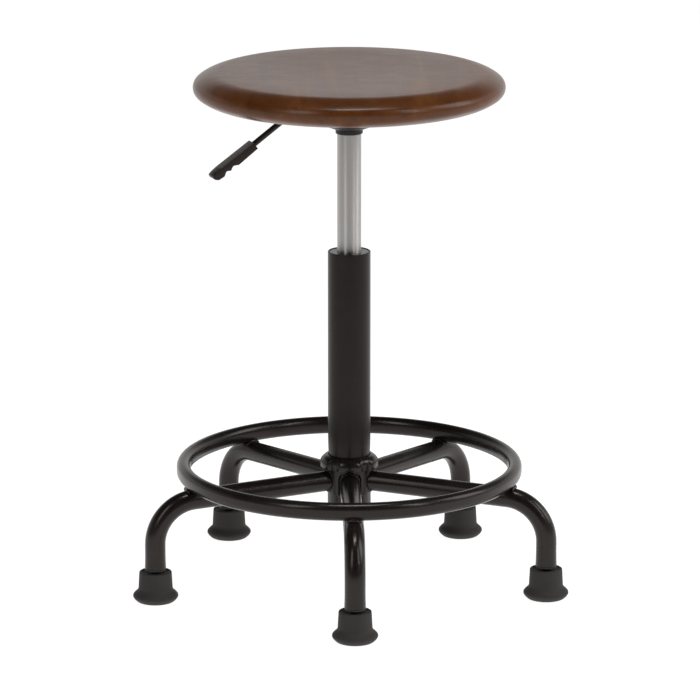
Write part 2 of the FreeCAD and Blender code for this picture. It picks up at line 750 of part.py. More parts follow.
def make_balls(centre):
    balls = []
    pockets = []
    count = int(size.ball_count.value)
    for index in range(count):
        angle = math.radians(360 / count * index)
        x = size.ball_circle.value * math.cos(angle)
        y = size.ball_circle.value * math.sin(angle)
        place = FreeCAD.Placement(FreeCAD.Vector(x, y, centre.value), FreeCAD.Rotation())
        balls.append(part_object("Part::Sphere", "Ball", place, Radius=size.ball_radius))
        pockets.append(part_object("Part::Sphere", "BallPocket", place,
                                   Radius=size.ball_radius + size.push_gap))
        for sphere in (balls[-1], pockets[-1]):
            bind(sphere, "Placement.Base.z", centre)
    node(fused("Balls", balls), "bearing_balls")
    cage = new_body("cage_blank")
    half = size.cage_gauge / 2
    revolve(cage, ring_outline(size.rod_radius + size.rod_clearance, size.cage_radius,
                               centre - half, centre + half))
    node(cut("Cage", cage, fused("BallPockets", pockets)), "bearing_cage")


# Hub

def make_hub_tube():
    # Tapered bore that grips the column's foot.
    slope = (size.column_neck_radius - size.column_foot_radius) / (size.column_neck - size.column_bottom)
    low = size.column_foot_radius + slope * (size.hub_bottom - size.column_bottom)
    high = size.column_foot_radius + slope * (size.hub_top - size.column_bottom)
    edge = size.edge_break / 2
    turned_piece("hub_tube", [
        (low, size.hub_bottom),
        (size.hub_radius - edge, size.hub_bottom),
        (size.hub_radius, size.hub_bottom + edge),
        (size.hub_radius, size.hub_top),
        (high, size.hub_top),
    ])


def make_hub_cover():
    # Moulded cover dropped over the hub: a hood over each leg and a window open to its lower edge.
    body = new_body("hub_cover")
    shoulder = size.cover_shoulder
    inner = size.hub_radius + size.cover_gap
    revolve(body, [
        (0, size.cover_bottom),
        (size.cover_radius, size.cover_bottom),
        (size.cover_radius, size.cover_top - shoulder),
        (size.cover_radius - shoulder, size.cover_top, QUARTER),
        (0, size.cover_top),
    ], "Shell")
    half = size.hood_width / 2
    half_top = size.hood_top_width / 2
    hood = extrude(body, "YZ_Plane", [
        (-half, size.hood_bottom), (half, size.hood_bottom),
        (half_top, size.cover_top - size.hood_drop), (-half_top, size.cover_top - size.hood_drop),
    ], size.hood_radius, "Hood")
    repeat_round(body, [hood], size.leg_count, "Hoods")
    face = size.hood_radius - size.hood_drop
    fall = (size.hood_radius - size.cover_lip_radius) * size.hood_slope
    outside = size.hood_radius + half
    revolve(body, [
        (size.cover_lip_radius, size.cover_top),
        (face, size.cover_top - fall, size.hood_curve),
        (face, size.hood_bottom - 1),
        (outside, size.hood_bottom - 1),
        (outside, size.cover_top + 1),
        (size.cover_lip_radius, size.cover_top + 1),
    ], "HoodRounding", "PartDesign::Groove")
    revolve(body, ring_outline(0, inner, size.cover_bottom - 1, size.hub_top + size.cover_gap), "Hollow",
            "PartDesign::Groove")
    revolve(body, ring_outline(0, size.cover_lip_radius, size.hub_top, size.cover_top + 1), "ColumnHole",
            "PartDesign::Groove")
    half_window = size.window_width / 2
    spring = size.window_top - half_window
    window = extrude(body, "YZ_Plane", [
        (half_window, size.cover_bottom - 1), (half_window, spring),
        (-half_window, spring, HALF_TURN), (-half_window, size.cover_bottom - 1),
    ], size.hood_radius + 1, "Window", "PartDesign::Pocket")
    repeat_round(body, [window], size.leg_count, "Windows")
    turn_upright(body, size.front_leg_angle)
    node(body, "hub_cover")


# Legs, foot ring and weld beads

def leg_route():
    bend = size.leg_bend_radius
    return [
        (size.hub_radius - size.leg_cope, size.leg_height),
        (size.foot_circle - bend, size.leg_height),
        (size.foot_circle, size.leg_height - bend, -QUARTER),
        (size.foot_circle, size.leg_end),
    ]


def pipe_feature(body, radius, kind, name):
    # Sweep a circle along the leg's centreline.
    route = sketch_on(body, "XZ_Plane", name + "Route")
    draw(route, leg_route(), closed=False)
    section = sketch_on(body, "YZ_Plane", name + "Section")
    start = size.hub_radius - size.leg_cope
    lift(section, start)
    draw_circle(section, 0, size.leg_height, radius)
    pipe = body.newObject(kind, name)
    pipe.Profile = section
    pipe.Spine = (route, ["Edge1", "Edge2", "Edge3"])
    body.Tip = pipe
    return pipe


def make_leg(index):
    # Bent tube, coped at its inner end to the hub.
    label = "leg_" + str(index + 1)
    body = new_body(label)
    pipe_feature(body, size.leg_radius, "PartDesign::AdditivePipe", "Tube")
    pipe_feature(body, size.leg_radius - size.leg_wall, "PartDesign::SubtractivePipe", "Bore")
    hub = ring_outline(0, size.hub_radius, size.hub_bottom, size.hub_top)
    revolve(body, hub, "Cope", "PartDesign::Groove")
    turn_upright(body, leg_angle(index))
    node(body, label)


def make_leg_core(index):
    # The space that a leg fills, for cutting what is welded to it.
    body = new_body("leg_core_" + str(index + 1))
    pipe_feature(body, size.leg_radius, "PartDesign::AdditivePipe", "Core")
    turn_upright(body, leg_angle(index))
    return body


def oval(centre, level, width, depth):
    # Flat-sided oval with half-round ends.
    half = width / 2
    straight = depth / 2 - half
    return [
        (centre + half, level + straight),
        (centre - half, level + straight, HALF_TURN),
        (centre - half, level - straight),
        (centre + half, level - straight, HALF_TURN),
    ]


def make_ring_and_beads():
    cores = fused("LegCores", [make_leg_core(index) for index in range(int(size.leg_count.value))])
    ring = new_body("ring_blank")
    level = size.ring_height
    revolve(ring, oval(size.ring_radius, level, size.ring_width, size.ring_depth), "Rim")
    hollow = size.ring_wall * 2
    revolve(ring, oval(size.ring_radius, level, size.ring_width - hollow, size.ring_depth - hollow),
            "RimBore", "PartDesign::Groove")
    node(cut("SeatedRing", ring, cores), "foot_ring")
    solid_ring = new_body("ring_core")
    revolve(solid_ring, oval(size.ring_radius, level, size.ring_width, size.ring_depth))
    beads = []
    for index in range(int(size.leg_count.value)):
        angle = leg_angle(index)
        for side, drop in ((-1, 0), (1, size.outer_bead_drop)):
            reach = size.ring_radius + side * (size.ring_width / 2 - size.bead_inset)
            place = FreeCAD.Placement(FreeCAD.Vector(), FreeCAD.Rotation(VERTICAL, angle.value))
            bead = part_object("Part::Ellipsoid", "RingBead", place, Radius1=size.bead_radius,
                               Radius2=size.bead_radius + size.bead_overlap,
                               Radius3=size.ring_bead_length / 2)
            bead.Angle1 = -90
            bind(bead, "Placement.Base.x", reach * cosine(angle))
            bind(bead, "Placement.Base.y", reach * sine(angle))
            bind(bead, "Placement.Base.z", size.leg_height + size.leg_radius + size.bead_overlap - drop)
            beads.append(bead)
    loose = cut("RingBeadsOffLegs", fused("RingBeads", beads), cores)
    node(cut("RingBeadsSeated", loose, solid_ring), "ring_welds")
    hub_core = part_object("Part::Cylinder", "HubCore", Radius=size.hub_radius, Height=size.hub_top)
    rounds = []
    for index in range(int(size.leg_count.value)):
        angle = leg_angle(index)
        sideways = FreeCAD.Rotation(VERTICAL, angle.value).multiply(
            FreeCAD.Rotation(FreeCAD.Vector(0, 1, 0), 90))
        bead = part_object("Part::Cone", "HubBead", FreeCAD.Placement(FreeCAD.Vector(), sideways),
                           Radius1=size.leg_radius + size.hub_bead,
                           Radius2=size.leg_radius + size.running_gap, Height=size.hub_bead_reach)
        reach = size.hub_radius - size.leg_cope
        bind(bead, "Placement.Base.x", reach * cosine(angle))
        bind(bead, "Placement.Base.y", reach * sine(angle))
        bind(bead, "Placement.Base.z", size.leg_height)
        rounds.append(bead)
    loose = cut("HubBeadsOffLegs", fused("HubBeads", rounds), cores)
    node(cut("HubBeadsSeated", loose, hub_core), "hub_welds")


# Glides

def make_insert(index):
    label = "leg_insert_" + str(index + 1)
    bore = size.leg_radius - size.leg_wall
    low = size.leg_end - size.insert_flange_gauge
    edge = size.edge_break
    taper = size.stem_chamfer
    body = new_body(label)
    revolve(body, [
        (size.stem_radius + size.running_gap, low),
        (size.insert_flange - edge, low),
        (size.insert_flange, low + edge, QUARTER),
        (size.insert_flange, size.leg_end),
        (bore, size.leg_end),
        (bore, size.insert_top - taper),
        (bore - taper, size.insert_top),
        (size.stem_radius + size.running_gap, size.insert_top),
    ])
    stand_on_foot_circle(body, index)
    node(body, label)


def make_stem(index):
    label = "glide_stem_" + str(index + 1)
    body = new_body(label)
    radius = size.stem_radius
    head_top = size.stem_bottom + size.stem_head_gauge
    revolve(body, [
        (0, size.stem_bottom),
        (size.stem_head, size.stem_bottom),
        (size.stem_head, head_top),
        (radius, head_top),
        (radius, size.stem_top - size.stem_chamfer),
        (radius - size.stem_chamfer, size.stem_top),
        (0, size.stem_top),
    ])
    stand_on_foot_circle(body, index)
    node(body, label)


def make_glide(index):
    # Bell: upright skirt, swelling flange and a foot drawn in to the floor, moulded round the stem.
    label = "glide_" + str(index + 1)
    body = new_body(label)
    flange = size.glide_flange_radius
    level = size.glide_flange
    top = size.glide_height
    rim = size.glide_rim_radius
    edge = size.glide_edge
    head_top = size.stem_bottom + size.stem_head_gauge
    revolve(body, [
        (0, 0),
        (size.glide_foot_radius, 0),
        (flange, level, 0.2),
        (flange - size.glide_roll_inset, level + size.glide_roll, 0.3),
        (size.glide_waist_radius, size.glide_waist, -0.24),
        (rim, top - edge),
        (rim - edge, top, QUARTER),
        (size.stem_radius, top),
        (size.stem_radius, head_top),
        (size.stem_head, head_top),
        (size.stem_head, size.stem_bottom),
        (0, size.stem_bottom),
    ])
    stand_on_foot_circle(body, index)
    node(body, label)


def build():
    make_seat()
    make_seat_plate()
    make_taper_socket()
    make_screws()
    make_pivot()
    make_lever()
    make_gas_spring()
    make_column()
    make_hub_tube()
    make_hub_cover()
    for index in range(int(size.leg_count.value)):
        make_leg(index)
        make_insert(index)
        make_stem(index)
        make_glide(index)
    make_ring_and_beads()
    document.recompute()


def check():
    # Every object recomputed, every piece one valid shape, before anything is written.
    failed = [
        thing.Name + " of " + ", ".join(owner.Name for owner in thing.InList)
        for thing in document.Objects if "Invalid" in thing.State or "Error" in thing.State
    ]
    for piece in NODES:
        shape = piece.Shape
        if shape.isNull() or not shape.isValid() or shape.Volume <= 0:
            failed.append("shape of " + piece.Label)
    if failed:
        raise RuntimeError("failed: " + "; ".join(failed))


def write():
    for piece in NODES:
        piece.Shape.exportStep(os.path.join("parts", piece.Label + ".step"))
    print(len(NODES), "pieces written")


build()
check()
write()
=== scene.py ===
import math

import bmesh
import bpy
from mathutils import Euler, Matrix, Vector, noise


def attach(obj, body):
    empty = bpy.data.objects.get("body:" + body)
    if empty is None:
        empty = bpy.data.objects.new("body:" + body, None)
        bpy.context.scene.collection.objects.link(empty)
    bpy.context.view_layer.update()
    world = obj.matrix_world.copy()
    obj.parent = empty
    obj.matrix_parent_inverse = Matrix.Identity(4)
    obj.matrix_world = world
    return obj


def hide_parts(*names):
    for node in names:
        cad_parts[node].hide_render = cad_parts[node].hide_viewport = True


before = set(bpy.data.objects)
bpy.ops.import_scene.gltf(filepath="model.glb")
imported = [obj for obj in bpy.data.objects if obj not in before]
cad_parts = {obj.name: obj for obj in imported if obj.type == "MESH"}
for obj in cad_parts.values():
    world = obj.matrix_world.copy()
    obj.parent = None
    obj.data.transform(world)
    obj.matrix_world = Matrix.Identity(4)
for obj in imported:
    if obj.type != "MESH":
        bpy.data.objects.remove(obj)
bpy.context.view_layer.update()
mm = 0.001
fullTurn = 2 * math.pi
quarterTurn = math.pi / 2
print("frame loaded:", len(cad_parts), "nodes")


# camera at the photograph's viewing angle

cameraSetup = {
    "distance": 5.9, "height": 1.754, "pitch": 14.01, "azimuth": 1.6,
    "lens": 267.1, "sensor": 36.0, "imageSize": 700, "axisColumn": 349.2,
}


def makeCamera(setup):
    data = bpy.data.cameras.new("camera")
    data.lens = setup["lens"]
    data.sensor_width = setup["sensor"]
    data.shift_x = (setup["imageSize"] / 2 - setup["axisColumn"]) / setup["imageSize"]
    data.clip_end = 60
    azimuth = math.radians(setup["azimuth"])
    camera = bpy.data.objects.new("camera", data)
    camera.location = (-setup["distance"] * math.sin(azimuth), -setup["distance"] * math.cos(azimuth),
                       setup["height"])
    camera.rotation_euler = Euler((quarterTurn - math.radians(setup["pitch"]), 0, -azimuth))
    bpy.context.scene.collection.objects.link(camera)
    bpy.context.scene.camera = camera


makeCamera(cameraSetup)
print("camera set")


# shader maths as Python expressions

class Wire:
    # a value in a node tree; sums, differences and products of wires add Math nodes
    def __init__(self, owner, socket):
        self.owner = owner
        self.socket = socket

    def combine(self, operation, first, second, clamp=False):
        return self.owner.node("Math", {"operation": operation, "use_clamp": clamp}, {0: first, 1: second})

    def output(self, index):
        # another output of the same node
        return Wire(self.owner, self.socket.node.outputs[index])

    def __add__(self, other):
        return self.combine("ADD", self, other)

    __radd__ = __add__

    def __sub__(self, other):
        return self.combine("SUBTRACT", self, other)

    def __rsub__(self, other):
        return self.combine("SUBTRACT", other, self)

    def __mul__(self, other):
        return self.combine("MULTIPLY", self, other)

    __rmul__ = __mul__

    def limited(self):
        # held between 0 and 1
        return self.combine("ADD", self, 0.0, clamp=True)


class NodeTree:
    # adds nodes to a tree and joins them
    def __init__(self, tree):
        self.tree = tree

    def feed(self, socket, value):
        if isinstance(value, Wire):
            self.tree.links.new(value.socket, socket)
        else:
            socket.default_value = (*value, 1) if socket.type == "RGBA" else value

    def node(self, kind, settings=None, inputs=None, output=0):
        made = self.tree.nodes.new("ShaderNode" + kind)
        target = made.color_ramp if kind == "ValToRGB" else made
        for key, value in (settings or {}).items():
            if key == "stops":
                self.setStops(target.elements, value)
            else:
                setattr(target, key, value)
        for key, value in (inputs or {}).items():
            self.feed(made.inputs[key], value)
        return Wire(self, made.outputs[output])

    def setStops(self, elements, stops):
        while len(elements) < len(stops):
            elements.new(0.5)
        for element, (position, color) in zip(elements, stops):
            element.position = position
            element.color = (*color, 1) if hasattr(color, "__len__") else (color, color, color, 1)

    def ramp(self, amount, stops, smooth="LINEAR"):
        return self.node("ValToRGB", {"interpolation": smooth, "stops": stops}, {0: amount})

    def mix(self, amount, first, second):
        return self.node("Mix", {"data_type": "RGBA"}, {0: amount, 6: first, 7: second}, output=2)


class Finish(NodeTree):
    # one procedural material on Object coordinates
    def __init__(self, slot, **constants):
        self.slot = slot
        self.material = bpy.data.materials.new(slot)
        self.material.use_nodes = True
        super().__init__(self.material.node_tree)
        self.shader = self.tree.nodes["Principled BSDF"]
        self.place = self.node("TexCoord", output=3)
        for name, value in constants.items():
            self.shader.inputs[name.replace("_", " ")].default_value = value

    def noise(self, scale, detail=2.0, stretch=(1, 1, 1), turn=(0, 0, 0), roughness=0.5, distortion=0.0):
        spot = self.node("Mapping", inputs={"Vector": self.place, "Scale": stretch, "Rotation": turn})
        return self.node("TexNoise", inputs={"Vector": spot, "Scale": scale, "Detail": detail,
                                             "Roughness": roughness, "Distortion": distortion})

    def paint(self, name, value):
        self.feed(self.shader.inputs[name], value)

    def relief(self, height, strength, distance):
        bump = self.node("Bump", inputs={"Height": height, "Strength": strength, "Distance": distance})
        self.paint("Normal", bump)


# finishes

def woodFinish():
    # stained and lacquered: long grain, broad patches, faint pores and slow waves in the surface
    look = {
        "dark": (0.036, 0.0100, 0.0022), "middle": (0.094, 0.0290, 0.0062), "light": (0.165, 0.062, 0.018),
        "grainAcross": 46.0, "grainAlong": 2.6, "patchScale": 9.0, "poreAcross": 900.0, "poreAlong": 40.0,
        "poreShade": 0.10, "poreColor": (0.016, 0.006, 0.002), "waveScale": 34.0, "waveDepth": 0.0012,
    }
    wood = Finish("walnut_wood", Specular_IOR_Level=0.26)
    across, along = look["grainAcross"], look["grainAlong"]
    grain = wood.noise(1.0, 5.0, (across, along, across), roughness=0.62, distortion=0.5)
    across, along = look["poreAcross"], look["poreAlong"]
    pores = wood.noise(1.0, 3.0, (across, along, across), roughness=0.7)
    patches = wood.noise(look["patchScale"], 3.0, (1.0, 0.6, 1.0), roughness=0.55)
    tone = (grain * 0.55 + patches * 0.45).limited()
    color = wood.ramp(tone, [(0.30, look["dark"]), (0.50, look["middle"]), (0.72, look["light"])], "EASE")
    pore = wood.ramp(pores, [(0.28, 0.0), (0.44, 1.0)])
    clear = pore * look["poreShade"] + (1 - look["poreShade"])
    wood.paint("Base Color", wood.mix(clear, look["poreColor"], color))
    wood.paint("Roughness", 0.21 + patches * 0.14)
    wood.relief(wood.noise(look["waveScale"], 2.0), 0.35, look["waveDepth"])
    return wood


def paintFinish(slot, color, roughness, peelScale=900.0, peelDepth=0.00003, specular=0.3, wear=0.05):
    # sprayed or powder coated black: fine orange peel, faint dust and handling marks
    paint = Finish(slot, Specular_IOR_Level=specular, Specular_Tint=(1.0, 0.90, 0.86, 1.0))
    peel = paint.noise(peelScale, 2.0)
    broad = paint.noise(28.0, 4.0, roughness=0.6)
    dust = paint.ramp(broad, [(0.42, 0.0), (0.78, 1.0)])
    dusty = tuple(value * 1.6 + 0.006 for value in color)
    paint.paint("Base Color", paint.mix(dust * 0.5, color, dusty))
    paint.paint("Roughness", roughness + dust * wear + peel * 0.04)
    paint.relief(peel, 0.30, peelDepth)
    return paint


def steelFinish(slot, color, roughness, lineScale=2600.0, lineDepth=0.000012, **constants):
    # ground steel: fine lines round the axis and slow changes of polish
    steel = Finish(slot, Metallic=1.0, **constants)
    lines = steel.noise(1.0, 3.0, (6.0, 6.0, lineScale), roughness=0.7)
    clouds = steel.noise(22.0, 3.0)
    bright = tuple(value * 1.12 for value in color)
    steel.paint("Base Color", steel.mix(clouds * 0.6 + lines * 0.3, color, bright))
    steel.paint("Roughness", roughness + lines * 0.10 + clouds * 0.05)
    steel.relief(lines, 0.35, lineDepth)
    return steel


def plasticFinish(slot, color, roughness, grainScale, grainDepth, specular=0.45, marks=0.06):
    # moulded plastic with a fine etched grain
    plastic = Finish(slot, Specular_IOR_Level=specular, Specular_Tint=(1.0, 0.89, 0.84, 1.0))
    grain = plastic.noise(grainScale, 2.0, roughness=0.6)
    smudge = plastic.noise(60.0, 3.0)
    lighter = tuple(value * 1.5 + 0.004 for value in color)
    plastic.paint("Base Color", plastic.mix(smudge * 0.5 + grain * 0.25, color, lighter))
    plastic.paint("Roughness", roughness + smudge * marks)
    plastic.relief(grain, 0.5, grainDepth)
    return plastic


def rubberFinish(slot, color):
    rubber = Finish(slot, Roughness=0.7, Specular_IOR_Level=0.3)
    speck = rubber.noise(1400.0, 3.0, roughness=0.7)
    bloom = rubber.noise(70.0, 4.0, roughness=0.6)
    pale = tuple(value * 1.45 + 0.008 for value in color)
    rubber.paint("Base Color", rubber.mix(bloom * 0.6 + speck * 0.3, color, pale))
    rubber.paint("Roughness", 0.58 + bloom * 0.2)
    rubber.relief(speck + bloom * 0.6, 0.4, 0.00008)
    return rubber


walnut = woodFinish()
framePaint = paintFinish("frame_paint", (0.0105, 0.0078, 0.0070), 0.22, specular=0.34)
columnPaint = paintFinish("column_paint", (0.0080, 0.0060, 0.0056), 0.27, peelScale=1300.0, specular=0.24,
                          wear=0.03)
platePaint = paintFinish("plate_paint", (0.006, 0.006, 0.006), 0.4)
leverPaint = paintFinish("lever_paint", (0.012, 0.010, 0.010), 0.42)
brushedTube = steelFinish("brushed_tube", (0.44, 0.425, 0.415), 0.36, Anisotropic=0.9,
                          Anisotropic_Rotation=0.25)
innerSteel = steelFinish("inner_steel", (0.5, 0.5, 0.5), 0.3)
zincSteel = steelFinish("zinc_steel", (0.55, 0.56, 0.55), 0.32, lineScale=700.0)
stemSteel = steelFinish("stem_steel", (0.05, 0.045, 0.045), 0.4)
coverPlastic = plasticFinish("cover_plastic", (0.0085, 0.0070, 0.0065), 0.20, 700.0, 0.00003, specular=0.34)
handlePlastic = plasticFinish("handle_plastic", (0.013, 0.0095, 0.0080), 0.40, 700.0, 0.00022, specular=0.26)
bushPlastic = plasticFinish("bush_plastic", (0.012, 0.010, 0.009), 0.2, 600.0, 0.00004)
innerPlastic = plasticFinish("inner_plastic", (0.03, 0.03, 0.03), 0.45, 800.0, 0.00005)
sealRubber = rubberFinish("seal_rubber", (0.015, 0.015, 0.015))
glideRubber = rubberFinish("glide_rubber", (0.024, 0.021, 0.020))
print("finishes made")


# mesh helpers, all in millimetres until a piece is finished

def outline(points, closed=False):
    # wire profile of (radius, height) or (radius, height, rounding), corners rounded by a vertex bevel
    mesh = bmesh.new()
    verts = [mesh.verts.new((point[0], 0, point[1])) for point in points]
    for pair in zip(verts, verts[1:]):
        mesh.edges.new(pair)
    if closed:
        mesh.edges.new((verts[-1], verts[0]))
    for vert, point in zip(verts, points):
        if len(point) > 2:
            bmesh.ops.bevel(mesh, geom=[vert], offset=point[2], offset_type="OFFSET", segments=5,
                            profile=0.5, affect="VERTICES", material=-1)
    return mesh


def spun(mesh, steps=96):
    bmesh.ops.spin(mesh, geom=mesh.verts[:] + mesh.edges[:], cent=(0, 0, 0), axis=(0, 0, 1), dvec=(0, 0, 0),
                   angle=fullTurn, steps=steps, use_merge=True, use_duplicate=False)
    bmesh.ops.remove_doubles(mesh, verts=mesh.verts, dist=0.001)
    return mesh


def turned(points, closed=False, steps=96):
    return spun(outline(points, closed), steps)


def moved(mesh, matrix):
    bmesh.ops.transform(mesh, matrix=matrix, verts=mesh.verts)
    return mesh


def block(matrix):
    # a unit cube, sized and placed by the matrix
    mesh = bmesh.new()
    bmesh.ops.create_cube(mesh, size=1.0)
    return moved(mesh, matrix)


def pushed(mesh, faces, offset):
    # extrudes faces and moves the new ones by offset
    made = bmesh.ops.extrude_face_region(mesh, geom=faces)["geom"]
    verts = [item for item in made if isinstance(item, bmesh.types.BMVert)]
    bmesh.ops.translate(mesh, vec=offset, verts=verts)


def softened(mesh, edges, offset, segments=3, clamp=False):
    # rounds edges
    bmesh.ops.bevel(mesh, geom=edges, offset=offset, offset_type="OFFSET", segments=segments, profile=0.5,
                    affect="EDGES", material=-1, clamp_overlap=clamp)


def turnedTo(angle):
    return Matrix.Rotation(angle, 4, "Z")


def joined(meshes):
    # several meshes as one
    whole = bmesh.new()
    for part in meshes:
        data = bpy.data.meshes.new("part")
        part.to_mesh(data)
        part.free()
        whole.from_mesh(data)
        bpy.data.meshes.remove(data)
    return whole


def objectFrom(name, mesh, sharpAngle=38):
    bmesh.ops.recalc_face_normals(mesh, faces=mesh.faces)
    bmesh.ops.scale(mesh, vec=(mm, mm, mm), verts=mesh.verts)
    data = bpy.data.meshes.new(name)
    mesh.to_mesh(data)
    mesh.free()
    data.polygons.foreach_set("use_smooth", [True] * len(data.polygons))
    data.set_sharp_from_angle(angle=math.radians(sharpAngle))
    thing = bpy.data.objects.new(name, data)
    bpy.context.scene.collection.objects.link(thing)
    return thing


def carved(thing, cutterMesh, sharpAngle=38):
    # the piece less the cutter's space
    cutter = objectFrom("cutter", cutterMesh)
    modifier = thing.modifiers.new("carve", "BOOLEAN")
    modifier.operation = "DIFFERENCE"
    modifier.solver = "EXACT"
    modifier.object = cutter
    graph = bpy.context.evaluated_depsgraph_get()
    data = bpy.data.meshes.new_from_object(thing.evaluated_get(graph))
    thing.modifiers.clear()
    thing.data = data
    data.set_sharp_from_angle(angle=math.radians(sharpAngle))
    bpy.data.objects.remove(cutter)
    return thing


def finished(thing, finish, body, *replaced):
    thing.data.materials.clear()
    thing.data.materials.append(finish.material)
    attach(thing, body)
    if replaced:
        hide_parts(*replaced)
    return thing


def extruded(mesh, edges, offset):
    # pushes a ring of edges along offset and returns the new ring
    made = bmesh.ops.extrude_edge_only(mesh, edges=edges)["geom"]
    verts = [item for item in made if isinstance(item, bmesh.types.BMVert)]
    bmesh.ops.translate(mesh, vec=offset, verts=verts)
    return [item for item in made if isinstance(item, bmesh.types.BMEdge)
            and item.verts[0] in set(verts) and item.verts[1] in set(verts)]


def ringVerts(edges):
    return list({vert for edge in edges for vert in edge.verts})


def bent(mesh, edges, centre, axis, angle, steps):
    # turns a ring of edges about an axis and returns the last ring
    made = bmesh.ops.spin(mesh, geom=ringVerts(edges) + list(edges), cent=centre, axis=axis, dvec=(0, 0, 0),
                          angle=angle, steps=steps, use_merge=False, use_duplicate=False)["geom_last"]
    return [item for item in made if isinstance(item, bmesh.types.BMEdge)]


# seat

seatShape = {
    "radius": 181.0, "bottom": 578.7, "thickness": 34.6, "edgeDepth": 30.0, "nose": 11.0,
    "dishRadius": 128.0, "dishDepth": 1.6, "steps": 192, "shoulderSteps": 10, "noseSteps": 8, "dishSteps": 8,
}


def makeSeat(shape):
    # a dished top, a wide shoulder arc that runs into a tighter nose arc, and the same edge below
    half = shape["thickness"] / 2
    middle = shape["bottom"] + half
    top = middle + half
    nose = shape["nose"]
    inset = shape["edgeDepth"] - nose
    shoulder = (inset ** 2 + half ** 2 - nose ** 2) / (2 * (half - nose))
    turn = math.atan2(inset, shoulder - half)
    flat = shape["radius"] - shape["edgeDepth"]
    centre = shape["radius"] - nose
    count = shape["shoulderSteps"]
    angles = [turn * step / count for step in range(count + 1)]
    upper = [(flat + shoulder * math.sin(angle), half - shoulder + shoulder * math.cos(angle))
             for angle in angles]
    count = shape["noseSteps"]
    angles = [turn + (quarterTurn - turn) * step / count for step in range(1, count + 1)]
    tip = [(centre + nose * math.sin(angle), nose * math.cos(angle)) for angle in angles]
    quarter = upper + tip
    side = [(r, middle + z) for r, z in quarter] + [(r, middle - z) for r, z in reversed(quarter[:-1])]
    shares = [step / shape["dishSteps"] for step in range(shape["dishSteps"] + 1)]
    dish = [(shape["dishRadius"] * share, top - shape["dishDepth"] * (1 - share ** 2)) for share in shares]
    under = [(flat * share, shape["bottom"]) for share in (0.66, 0.33, 0)]
    seat = objectFrom("seat_top", turned(dish + side + under, steps=shape["steps"]), 60)
    finished(seat, walnut, "seat_assembly", "seat")


makeSeat(seatShape)
print("seat made")


# seat plate, socket, screws and washers

plateShape = {
    "width": 150.0, "corner": 14.0, "gauge": 2.4, "segments": 96, "seatBottom": 578.7,
    "bowlBottom": 545.5, "turnHeight": 549.4, "turnRadius": 22.0, "knee": 552.6, "kneeRadius": 34.0,
    "rimRadius": 37.5, "lipRadius": 42.0,
    "slotWidth": 9.5, "slotBottom": 559.5, "socketRadius": 15.9, "socketBottom": 541.0, "socketTop": 560.0,
    "tubeRadius": 14.0, "tubeTop": 13.3, "angle": 200.0,
}


def squareRing(width, corner, count):
    # a circle of verts pushed out to a square with round corners
    mesh = bmesh.new()
    ring = bmesh.ops.create_circle(mesh, segments=count, radius=1.0)["verts"]
    flat = width / 2 - corner
    for vert in ring:
        reach = max(abs(vert.co.x), abs(vert.co.y))
        x, y = vert.co.x / reach * width / 2, vert.co.y / reach * width / 2
        if abs(x) > flat and abs(y) > flat:
            middle = Vector((math.copysign(flat, x), math.copysign(flat, y)))
            out = (Vector((x, y)) - middle).normalized() * corner
            x, y = middle + out
        vert.co = (x, y, 0)
    return mesh


def makePlate(shape):
    gauge = shape["gauge"]
    flange = shape["seatBottom"] - gauge
    mesh = squareRing(shape["width"], shape["corner"], shape["segments"])
    bmesh.ops.create_circle(mesh, segments=shape["segments"], radius=shape["lipRadius"] - gauge)
    faces = bmesh.ops.bridge_loops(mesh, edges=mesh.edges[:])["faces"]
    bmesh.ops.translate(mesh, vec=(0, 0, flange), verts=mesh.verts)
    pushed(mesh, faces, (0, 0, gauge))
    rim = [edge for edge in mesh.edges
           if all(vert.co.xy.length > shape["lipRadius"] + 4 for vert in edge.verts)
           and abs(edge.verts[0].co.z - edge.verts[1].co.z) < 0.1]
    softened(mesh, rim, 0.6, segments=2)
    bowl = turned([
        (shape["socketRadius"], shape["bowlBottom"]),
        (shape["turnRadius"], shape["turnHeight"] - 1.2, 2.5),
        (shape["kneeRadius"], shape["knee"], 2.5),
        (shape["rimRadius"], flange - 4, 2.0),
        (shape["lipRadius"], flange),
        (shape["lipRadius"] - gauge, flange + gauge * 0.9),
        (shape["rimRadius"] - gauge, flange - 3),
        (shape["kneeRadius"] - gauge, shape["knee"] + gauge),
        (shape["turnRadius"] - gauge / 3, shape["turnHeight"] + gauge - 1.2),
        (shape["socketRadius"], shape["bowlBottom"] + gauge),
    ], closed=True)
    plate = objectFrom("seat_plate_pressing", joined([mesh, bowl]), 35)
    height = flange - shape["slotBottom"]
    size = Matrix.Diagonal((shape["lipRadius"], shape["slotWidth"], height - 0.4, 1))
    place = Matrix.Translation((shape["lipRadius"] / 2 + 8, 0, shape["slotBottom"] + height / 2 - 0.3))
    carved(plate, block(turnedTo(math.radians(shape["angle"])) @ place @ size), 35)  # the lever's slot
    finished(plate, platePaint, "seat_assembly", "seat_plate")
    socket = turned([
        (shape["tubeRadius"] + 0.05, shape["socketBottom"]),
        (shape["socketRadius"], shape["socketBottom"], 0.8),
        (shape["socketRadius"], shape["socketTop"], 0.6),
        (shape["tubeTop"] + 0.1, shape["socketTop"]),
    ], closed=True)
    finished(objectFrom("taper_socket_ring", socket), platePaint, "seat_assembly", "taper_socket")


screwShape = {
    "square": 114.0, "head": 5.6, "headDepth": 2.8, "shank": 2.5, "length": 20.0, "washer": 7.0,
    "washerGauge": 1.2, "crossLength": 5.4, "crossWidth": 1.3, "crossDepth": 1.7, "count": 4,
}


